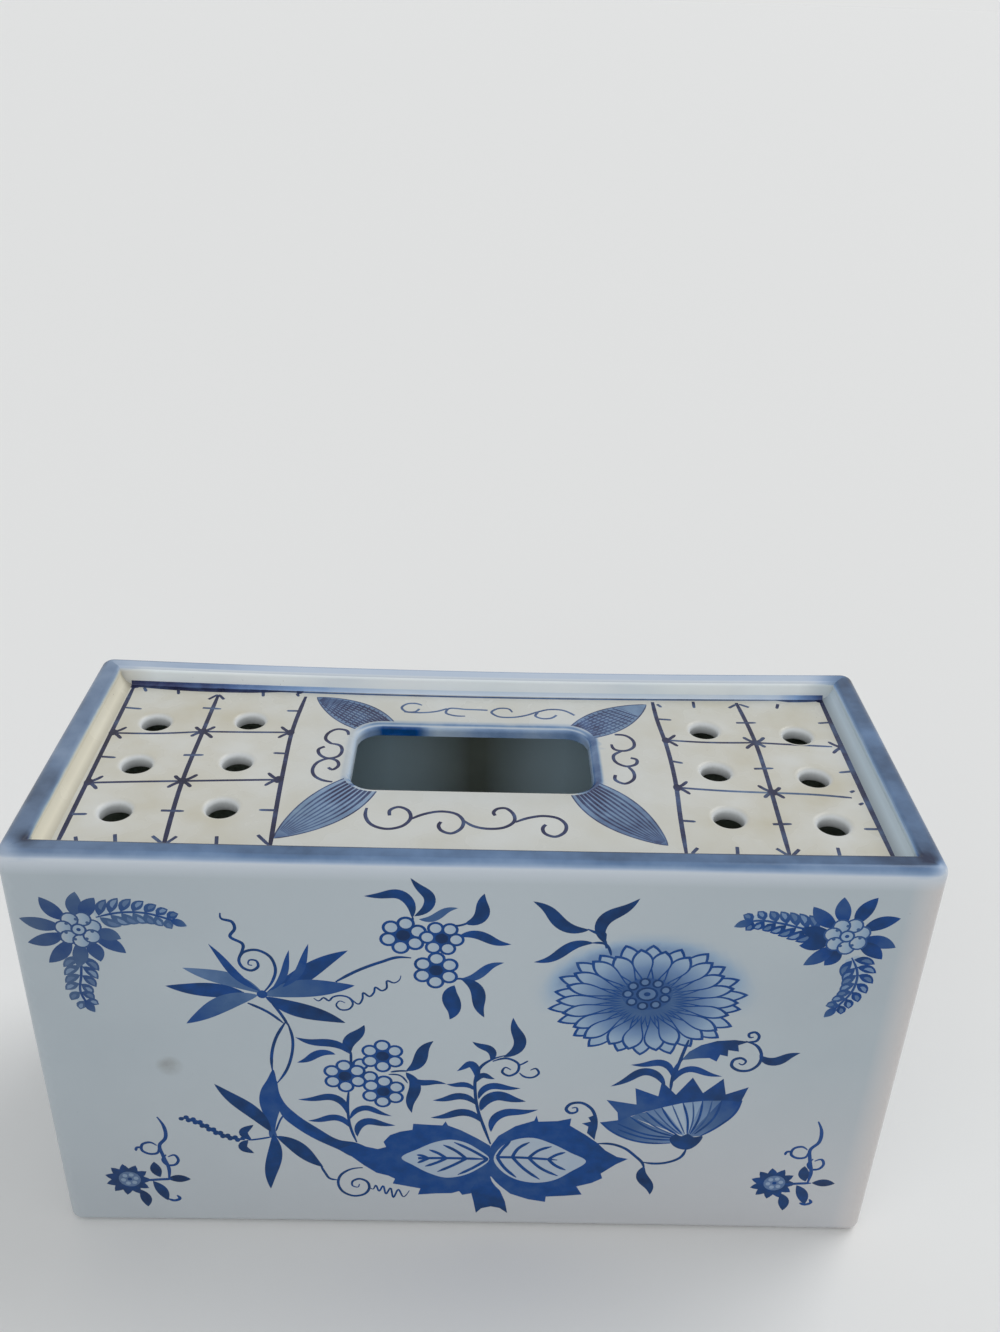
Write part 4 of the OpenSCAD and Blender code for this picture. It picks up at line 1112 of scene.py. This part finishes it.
def topParts():
    slab = topSlab
    z1, z0 = brick["topZ"], topUnder
    room = (brick["length"] - 2 * brick["wall"], brick["depth"] - 2 * brick["wall"])
    outer = roundedLoop(room, 0.1, (0, 0), 2.4, 1)
    hole = roundedLoop((slab["holeD"], slab["holeD"]), slab["holeD"] / 2, (0, 0), 2.0, 9)
    shafts = []
    for side in (-1, 1):
        for column, x in enumerate(slab["holeX"]):
            for row in (-1, 0, 1):
                y = slab["holeSetback"] + (column - 0.5) * slab["holeStagger"] + row * slab["holePitchY"]
                shafts.append((hole, (side * x, y), slab["holeLip"], False))
    opening = roundedLoop(slab["opening"], slab["openingCorner"], (0, 0), 2.0, 10)
    shafts.append((opening, slab["openingAt"], slab["openingLip"], True))
    tops, bottoms, parts, support = [], [], [], []
    for loop, centre, lip, painted in shafts:
        rings, aims = lippedShaft(loop, centre, lip)
        tops.append(rings[0][0])
        bottoms.append(rings[-1][0])
        support += [loop + centre + outwards(loop) * (lip + gap) for gap in (0.45, 0.9)]
        pts = np.vstack([together(*ring.T, z) for ring, z in rings])
        nrm = np.vstack([together(*out.T, up) for out, up in aims])
        faces = ringFaces(len(rings), len(loop))
        down = (z1 - pts[:, 2]) / lip
        # ink below nought is painted shade, darkening the bare bore on the way down
        boreShade = -np.clip(slab["boreShadeRate"] * (down - slab["boreShadeFrom"]), 0, slab["boreShadeMost"])
        ink = lipInk(pts[:, 0], pts[:, 1], np.minimum(down, 1)) if painted else boreShade
        parts.append((pts, faces, nrm, ink[faces], 0))
    inset = outer * (1 - 1.0 / np.abs(outer).max())
    upper = cutSheet(outer, tops, paintTop(), np.vstack(support + [inset]), topHaze)
    under = cutSheet(outer, bottoms, [], np.zeros((0, 2)), None, 6.0)
    for (flat, tris, ink), z, up, index in ((upper, z1, 1.0, 0), (under, z0, -1.0, 1)):
        parts.append((together(*flat.T, z), tris, np.tile([0.0, 0.0, up], (len(flat), 1)), ink, index))
    side = np.vstack([together(*outer.T, z) for z in (z1, z0)])
    out = together(*outwards(outer).T, 0.0)
    parts.append((side, ringFaces(2, len(outer)), np.vstack([out, out]), np.zeros((len(outer), 4)), 1))
    return parts


# glazes

def ramp(tree, stops):
    node = tree.nodes.new("ShaderNodeValToRGB")
    elements = node.color_ramp.elements
    while len(elements) < len(stops):
        elements.new(0.5)
    for element, (place, colour) in zip(elements, stops):
        element.position = place
        element.color = (*colour, 1)
    return node


def addNode(tree, kind, takes=None, **values):
    # takes: what each socket is given, another node's output or a plain value
    node = tree.nodes.new(kind)
    for key, value in values.items():
        setattr(node, key, value)
    for label, source in (takes or {}).items():
        if isinstance(source, bpy.types.NodeSocket):
            tree.links.new(source, node.inputs[label])
        else:
            node.inputs[label].default_value = source
    return node


def mapped(tree, value, low, high, toLow=0.0, toHigh=1.0):
    takes = {"Value": value, "From Min": low, "From Max": high, "To Min": toLow, "To Max": toHigh}
    return addNode(tree, "ShaderNodeMapRange", takes).outputs["Result"]


def noiseAt(tree, place, scale, detail=2.0):
    takes = {"Vector": place, "Scale": scale, "Detail": detail}
    return addNode(tree, "ShaderNodeTexNoise", takes).outputs["Fac"]


# the pits of the glaze: their edge within a cell, which cells hold one, and how these are spread
pitLook = {"edge": (0.16, 0.08), "share": (0.66, 0.72), "spread": 310}
noiseSpan = (0.3, 0.7)  # where most values of a noise lie
rippleDepth = 0.4  # height of the glaze's ripple in millimetres


def glazeSkinGroup():
    # slow tone changes, fine pits and the slight ripple of a fired glaze
    group = bpy.data.node_groups.new("glazeSkin", "ShaderNodeTree")
    for label, value in (("Patch Scale", 45.0), ("Pit Scale", 900.0), ("Ripple Scale", 260.0)):
        socket = group.interface.new_socket(name=label, in_out="INPUT", socket_type="NodeSocketFloat")
        socket.default_value = value
    for label in ("Tone", "Pits", "Height"):
        group.interface.new_socket(name=label, in_out="OUTPUT", socket_type="NodeSocketFloat")
    start = group.nodes.new("NodeGroupInput").outputs
    place = group.nodes.new("ShaderNodeTexCoord").outputs["Object"]
    patch = noiseAt(group, place, start["Patch Scale"], 3)
    ripple = noiseAt(group, place, start["Ripple Scale"])
    cells = addNode(group, "ShaderNodeTexVoronoi", {"Vector": place, "Scale": start["Pit Scale"]})
    near = mapped(group, cells.outputs["Distance"], *pitLook["edge"])
    few = mapped(group, noiseAt(group, place, pitLook["spread"]), *pitLook["share"])
    pits = addNode(group, "ShaderNodeMath", {0: near, 1: few}, operation="MULTIPLY")
    addNode(group, "NodeGroupOutput", {"Tone": patch, "Pits": pits.outputs["Value"], "Height": ripple})
    return group


glazeSkin = glazeSkinGroup()

# how the cobalt filters the light of the glaze under it, from bare to full strength
printStops = [
    (0.0, (1, 1, 1)), (0.2, (0.66, 0.8, 0.98)), (0.42, (0.33, 0.48, 0.76)), (0.65, (0.1, 0.215, 0.46)),
    (0.84, (0.002, 0.1, 0.415)), (0.92, (0.003, 0.072, 0.26)), (1.0, (0.002, 0.045, 0.17)),
]
rimStops = [
    (0.0, (1, 1, 1)), (0.2, (0.72, 0.8, 0.92)), (0.42, (0.4, 0.52, 0.7)), (0.6, (0.21, 0.32, 0.5)),
    (0.75, (0.125, 0.195, 0.315)), (0.9, (0.065, 0.1, 0.175)), (1.0, (0.03, 0.045, 0.1)),
]
brushStops = [
    (0.0, (1, 1, 1)), (0.2, (0.72, 0.8, 0.93)), (0.42, (0.33, 0.49, 0.78)), (0.65, (0.115, 0.2, 0.44)),
    (0.85, (0.035, 0.045, 0.15)), (1.0, (0.014, 0.016, 0.07)),
]


def glaze(name, look):
    material = bpy.data.materials.new(name)
    material.use_nodes = True
    tree = material.node_tree
    shader = tree.nodes["Principled BSDF"]
    link = tree.links.new
    coords = tree.nodes.new("ShaderNodeTexCoord").outputs["Object"]
    skin = addNode(tree, "ShaderNodeGroup", node_tree=glazeSkin)
    skin.inputs["Patch Scale"].default_value = look["patchScale"]

    def ramped(value, stops):
        node = ramp(tree, stops)
        link(value, node.inputs["Fac"])
        return node.outputs["Color"]

    def blend(factor, under, over, kind="MIX"):
        takes = {"Factor": factor, "A": under, "B": over}
        for label, source in takes.items():
            if isinstance(source, tuple):
                takes[label] = (*source, 1)
        return addNode(tree, "ShaderNodeMix", takes, data_type="RGBA", blend_type=kind).outputs["Result"]

    def times(one, other, clamp=False):
        node = addNode(tree, "ShaderNodeMath", {0: one, 1: other}, operation="MULTIPLY", use_clamp=clamp)
        return node.outputs["Value"]

    def part(vector, axis):
        return addNode(tree, "ShaderNodeSeparateXYZ", {"Vector": vector}).outputs[axis]

    def facing(axis, low, high):
        return mapped(tree, part(tree.nodes.new("ShaderNodeNewGeometry").outputs["Normal"], axis), low, high)

    def along(axis, low, high, most=1.0, bothWays=False):
        # 0 at one place on an axis of the brick and most at another, both in millimetres
        place = part(coords, axis)
        if bothWays:
            place = addNode(tree, "ShaderNodeMath", {0: place}, operation="ABSOLUTE").outputs["Value"]
        return mapped(tree, place, low * mm, high * mm, 0, most)

    colour = ramped(skin.outputs["Tone"], list(zip(noiseSpan, (look["deep"], look["light"]))))
    if "sideTones" in look:  # the tone of this wall's neighbours, at the left and the right end: their painted light on the left and painted shade on the right
        low, high, tones = look["sideTones"]
        for way, tone in zip((-1, 1), tones):
            colour = blend(along("X", low * way, high * way), colour, tone)
    colour = blend(skin.outputs["Pits"], colour, look["speck"])
    if "paleMiddle" in look:  # a little paler towards the middle of the length; on the porcelain this is painted light, a brighter middle of the front
        low, high, most, tone = look["paleMiddle"]
        colour = blend(along("X", low, high, most, True), colour, tone)
    if "leanTone" in look:  # another tone where the surface leans: painted light on the lips of the top, painted shade in the coves and on the chamber floor's upper side
        low, high, tone = look["leanTone"]
        leaning = facing("Z", low, high)
        colour = blend(leaning, colour, tone)
    if "floorBounceTone" in look:  # painted light: whiter towards the foot, most at the right, for the light thrown up from the floor
        low, high, left, right, tone = look["floorBounceTone"]
        colour = blend(times(along("Z", low, high), along("X", left, right)), colour, tone)
    if "cornerHighlight" in look:  # painted highlight: a warmer, whiter tone along the right-hand corners, but not on the end wall
        low, high, aside, ahead, tone = look["cornerHighlight"]
        colour = blend(times(along("X", low, high), facing("X", aside, ahead)), colour, tone)
    if "rimWhiteAndHighlight" in look:  # a whiter rim: partly the porcelain's own white, partly a painted highlight along the rim's edge
        low, high, tone = look["rimWhiteAndHighlight"]
        colour = blend(along("Z", low, high), colour, tone)
    if "stain" in look:  # one grey smear left on the glaze
        stain = look["stain"]
        spot = [v * mm for v in stain["at"]]
        away = addNode(tree, "ShaderNodeVectorMath", {0: coords, 1: spot}, operation="DISTANCE")
        near = mapped(tree, away.outputs["Value"], stain["size"] * mm, stain["core"] * mm, 0, stain["most"])
        patchy = mapped(tree, noiseAt(tree, coords, stain["grain"], 3), *stain["patchy"])
        colour = blend(times(near, patchy), colour, stain["colour"])
    if "lighterEnds" in look:  # painted light inside: paler away from the middle; painted shade: darker in the corners
        low, high, pale = look["lighterEnds"]
        cornerShadeLow, cornerShadeHigh, dull = look["dullCorners"]
        ends = blend(along("X", cornerShadeLow, cornerShadeHigh, 1.0, True), pale, dull)
        colour = blend(along("X", low, high, 1.0, True), colour, ends)
    if "ink" in look:
        ink = addNode(tree, "ShaderNodeAttribute", attribute_name="ink").outputs["Fac"]
        # painted shade: ink below nought turns the glaze to the bore colour, the shade down the bores
        colour = blend(mapped(tree, ink, 0, -1), colour, look["bore"])
        pool = mapped(tree, noiseAt(tree, coords, look["poolScale"], 4), *noiseSpan, *look["pool"])
        wet = times(ink, pool, True)
        tint = ramped(wet, look["ink"])
        if "lipInk" in look:  # brighter blue on the lips than on the flat
            tint = blend(leaning, tint, ramped(wet, look["lipInk"]))
        if "rimInk" in look:  # the brushed band on the rim is a greyer blue than the print
            low, high, stops = look["rimInk"]
            tint = blend(along("Z", low, high), tint, ramped(wet, stops))
        if "greyEnd" in look:  # the cobalt is duller towards one end
            grey = addNode(tree, "ShaderNodeRGBToBW", {"Color": tint}).outputs["Val"]
            tint = blend(along("X", *look["greyEnd"]), tint, grey)
        colour = blend(1.0, colour, tint, "MULTIPLY")
    link(colour, shader.inputs["Base Color"])
    link(mapped(tree, skin.outputs["Tone"], 0, 1, *look["gloss"]), shader.inputs["Roughness"])
    bumps = {"Strength": look["ripple"], "Distance": rippleDepth * mm, "Height": skin.outputs["Height"]}
    link(addNode(tree, "ShaderNodeBump", bumps).outputs["Normal"], shader.inputs["Normal"])
    shader.inputs["Specular IOR Level"].default_value = look["shine"]
    return material


# painted shade: the porcelain's tones are set greyer and bluer than its own white, for the front standing in
# shade
porcelainLook = {
    "deep": (0.423, 0.479, 0.52), "light": (0.457, 0.516, 0.553), "speck": (0.32, 0.34, 0.38),
    "patchScale": 30, "gloss": (0.16, 0.28), "ripple": 0.12, "shine": 0.22,
    "ink": printStops, "pool": (0.94, 1.05), "poolScale": 300, "bore": (0.1, 0.11, 0.1),
    # the tone for the middle is painted light, a brighter middle of the front
    "greyEnd": (-62, -98, 0.3), "paleMiddle": (85, 10, 1, (0.485, 0.543, 0.583)),
    # painted light thrown up from the floor, whiter towards the foot
    "floorBounceTone": (60, 0, -150, 50, (0.54, 0.55, 0.57)),
    # painted highlight along the right-hand corners
    "cornerHighlight": (92, 99, 0.97, 0.75, (0.65, 0.615, 0.6)),
    # a whiter rim, partly the porcelain's own white and partly painted highlight
    "rimWhiteAndHighlight": (110.5, 114.2, (0.6, 0.655, 0.72)),
    "rimInk": (111.8, 112.6, rimStops),
    "stain": {"at": (-69.4, -42.5, 55.5), "size": 3.4, "core": 1.02, "most": 0.75, "grain": 360,
              "patchy": (0.3, 0.62, 0.45, 1.0), "colour": (0.28, 0.29, 0.29)},
}
# painted light: the white glaze set warm and yellowish, for the warm light on the inner sides that face the
# lamp
warmLitLook = {
    "deep": (0.76, 0.71, 0.57), "light": (0.84, 0.81, 0.68), "speck": (0.34, 0.3, 0.24), "patchScale": 42,
    "gloss": (0.2, 0.34), "ripple": 0.2, "shine": 0.3,
    "ink": brushStops, "pool": (0.8, 1.08), "poolScale": 240, "bore": (0.05, 0.055, 0.048),
    "leanTone": (0.6, 0.98, (0.42, 0.395, 0.32)),
}
# painted light: the top's white glaze set warm and yellowish, for the warm light on it
plateLitLook = dict(
    warmLitLook, deep=(0.545, 0.52, 0.425), light=(0.635, 0.64, 0.605), patchScale=64, lipInk=printStops,
    paleMiddle=(60, 36, 0.45, (0.61, 0.637, 0.637)), leanTone=(0.985, 0.6, (0.74, 0.765, 0.77)),
)
# painted light: a paler, bluer copy of the glaze for the well-lit inner side of the back wall
litBackLook = {
    "deep": (0.88, 0.95, 0.985), "light": (0.93, 0.975, 1.0), "speck": (0.36, 0.36, 0.34), "patchScale": 36,
    "gloss": (0.18, 0.3), "ripple": 0.16, "shine": 0.3,
    "ink": brushStops, "pool": (0.9, 1.08), "poolScale": 240, "bore": (0.1, 0.11, 0.1),
}
# painted shade: a darker copy of the back's glaze for the right end's inner side, darker still in the cove
shadeLook = dict(
    litBackLook, deep=(0.55, 0.67, 0.75), light=(0.63, 0.74, 0.83), leanTone=(0.5, 0.97, (0.27, 0.31, 0.33)),
)
# the back's glaze runs into the painted light of the left end and the painted shade of the right end
litBackLook["sideTones"] = (85, 96, [(0.7, 0.68, 0.62), (0.5, 0.575, 0.605)])
# painted shade: the glaze inside is set dark, for the shade in the closed chamber
chamberLook = {
    "deep": (0.165, 0.19, 0.165), "light": (0.24, 0.27, 0.235), "speck": (0.1, 0.12, 0.11), "patchScale": 60,
    "gloss": (0.25, 0.4), "ripple": 0.3, "shine": 0.3,
}
# bare clay underneath, a thin glaze on the inner side, set dark there as painted shade of the chamber
floorLook = dict(
    chamberLook, deep=(0.53, 0.52, 0.475), light=(0.66, 0.65, 0.62), gloss=(0.45, 0.65),
    leanTone=(0.2, 0.8, (0.38, 0.42, 0.4)),
)
# painted light towards the ends seen through the opening, and painted shade in the corners
chamberLook["lighterEnds"] = (2, 24, (0.68, 0.88, 1.0))
chamberLook["dullCorners"] = (34, 48, (0.34, 0.37, 0.3))

porcelain = glaze("porcelain", porcelainLook)
warmLitGlaze = glaze("warmLitGlaze", warmLitLook)
plateWarmLit = glaze("plateWarmLit", plateLitLook)
litBackGlaze = glaze("litBackGlaze", litBackLook)
shadedGlaze = glaze("shadedGlaze", shadeLook)
chamber = glaze("chamber", chamberLook)
floorGlaze = glaze("floorGlaze", floorLook)
print("glazes ready")

# walls

front = paintPrint()
print("print has", len(front), "strokes")
halfL, halfD = brick["length"] / 2, brick["depth"] / 2
wallPiece("front", ("left", "right"), halfL, halfD, 0, [porcelain, chamber, warmLitGlaze], front, printHaze)
wallPiece("back", ("right", "left"), halfL, halfD, 180, [porcelain, chamber, litBackGlaze], front, printHaze)
wallPiece("left", ("back", "front"), halfD, halfL, -90, [porcelain, chamber, warmLitGlaze])
wallPiece("right", ("front", "back"), halfD, halfL, 90, [porcelain, chamber, shadedGlaze])
print("walls ready")

makePiece("pierced_top", topParts(), [plateWarmLit, chamber])
print("top ready")

# the strips in the seams; the ink on the back one by its place along the brick
backSeam = [(-95, 0.95), (-76, 0.82), (-60, 0.6), (-45, 0.4), (-20, 0.18), (60, 0.12), (84, 0.25), (93, 0.9)]
# cuts across a strip, in millimetres along the brick, and the angle from which an edge is sharp
stripCut = {"reach": 90, "every": 10, "sharp": 32}


def followKiln(node, material, seam=None):
    # the CAD strip, cut along its length so that it can follow the sagged slabs
    bm = bmesh.new()
    bm.from_mesh(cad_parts[node].data)
    for x in range(-stripCut["reach"], stripCut["reach"] + 1, stripCut["every"]):
        everything = bm.verts[:] + bm.edges[:] + bm.faces[:]
        bmesh.ops.bisect_plane(bm, geom=everything, plane_co=(x * mm, 0, 0), plane_no=(1, 0, 0))
    pts = np.array([v.co for v in bm.verts]) / mm
    if node.endswith("seam_fillet"):  # narrower by as much as the rim is fuller
        axis = int(np.ptp(pts[:, 0]) > np.ptp(pts[:, 1]))
        wide, near = np.ptp(pts[:, axis]), np.abs(pts[:, axis]).min() * np.sign(pts[0, axis])
        pts[:, axis] = near + (pts[:, axis] - near) * (1 - rimCoat["fuller"] / wide)
    pts = settle(pts) * mm
    for v, p in zip(bm.verts, pts):
        v.co = p
    mesh = bpy.data.meshes.new(node + "_glazed")
    bm.to_mesh(mesh)
    bm.free()
    mesh.shade_smooth()
    mesh.set_sharp_from_angle(angle=math.radians(stripCut["sharp"]))
    mesh.materials.append(material)
    if seam:
        inks = np.interp(pts[:, 0] / mm, *zip(*seam))
        mesh.attributes.new("ink", "FLOAT", "POINT").data.foreach_set("value", inks)
    addPiece(node, mesh)


# the seam strips take the painted light and painted shade of their sides' glazes
filletGlaze = {"front": warmLitGlaze, "left": warmLitGlaze, "back": litBackGlaze, "right": shadedGlaze}
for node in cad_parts:
    if node.endswith("seam_fillet"):
        side = node.split("_")[0]
        followKiln(node, filletGlaze[side], backSeam if side == "back" else None)
    elif node.endswith("slab"):
        followKiln(node, floorGlaze)
    elif node.endswith(("coil", "ledge")):
        followKiln(node, chamber)
print("strips ready")

# floor, light and camera

studio = {
    "floor": (0.84, 0.84, 0.83), "floorGloss": 0.8, "reach": 60.0,
    "backdrop": (0.763, 0.77, 0.769), "worldColour": (0.96, 0.98, 1.0), "world": 0.5,
    # strength, tilt, turn and softness of each lamp
    "keyLamp": (1.1, 42, 125, 40), "fillLamp": (0.6, 50, -20, 70),
}
photoView = {
    "sensor": 36, "focalPixels": 1221.31, "framePixels": 1332, "clipEnd": 200,
    "at": (-0.000356, -0.2441059, 0.2745794), "turn": (1.0641, -0.0280, -0.0050),
}

reach = studio["reach"]
floorCorners = [(-reach, -reach, 0), (reach, -reach, 0), (reach, reach, 0), (-reach, reach, 0)]
floorMesh = bpy.data.meshes.new("floor")
floorMesh.from_pydata(floorCorners, [], [(0, 1, 2, 3)])
floor = bpy.data.objects.new("floor", floorMesh)
scene.collection.objects.link(floor)
floorMaterial = bpy.data.materials.new("paleFloor")
floorMaterial.use_nodes = True
floorShader = floorMaterial.node_tree.nodes["Principled BSDF"]
floorShader.inputs["Base Color"].default_value = (*studio["floor"], 1)
floorShader.inputs["Roughness"].default_value = studio["floorGloss"]
floorMesh.materials.append(floorMaterial)

world = bpy.data.worlds.new("studio")
scene.world = world
world.use_nodes = True
sky = world.node_tree
skyLight = sky.nodes["Background"]
skyLight.inputs["Color"].default_value = (*studio["worldColour"], 1)
skyLight.inputs["Strength"].default_value = studio["world"]
backdrop = addNode(sky, "ShaderNodeBackground", {"Color": (*studio["backdrop"], 1)})
rays = sky.nodes.new("ShaderNodeLightPath").outputs
seen = addNode(sky, "ShaderNodeMath", {0: rays["Is Camera Ray"], 1: rays["Is Glossy Ray"]}, operation="ADD")
seenAll = addNode(sky, "ShaderNodeMath", {0: seen.outputs["Value"], 1: rays["Is Transmission Ray"]},
                  operation="ADD", use_clamp=True)
choose = addNode(sky, "ShaderNodeMixShader", {
    "Fac": seenAll.outputs["Value"], 1: skyLight.outputs["Background"], 2: backdrop.outputs["Background"]})
sky.links.new(choose.outputs["Shader"], sky.nodes["World Output"].inputs["Surface"])

for name in ("keyLamp", "fillLamp"):
    strength, tilt, turn, softness = studio[name]
    lamp = bpy.data.lights.new(name, "SUN")
    lamp.energy = strength
    lamp.angle = math.radians(softness)
    holder = bpy.data.objects.new(name, lamp)
    holder.rotation_euler = (math.radians(tilt), 0, math.radians(turn))
    scene.collection.objects.link(holder)

camera = bpy.data.cameras.new("photoView")
camera.sensor_width = photoView["sensor"]
camera.clip_end = photoView["clipEnd"]
camera.lens = photoView["focalPixels"] * photoView["sensor"] / photoView["framePixels"]
viewer = bpy.data.objects.new("photoView", camera)
viewer.location = photoView["at"]
viewer.rotation_euler = photoView["turn"]
scene.collection.objects.link(viewer)
scene.camera = viewer
scene.view_settings.view_transform = "Standard"
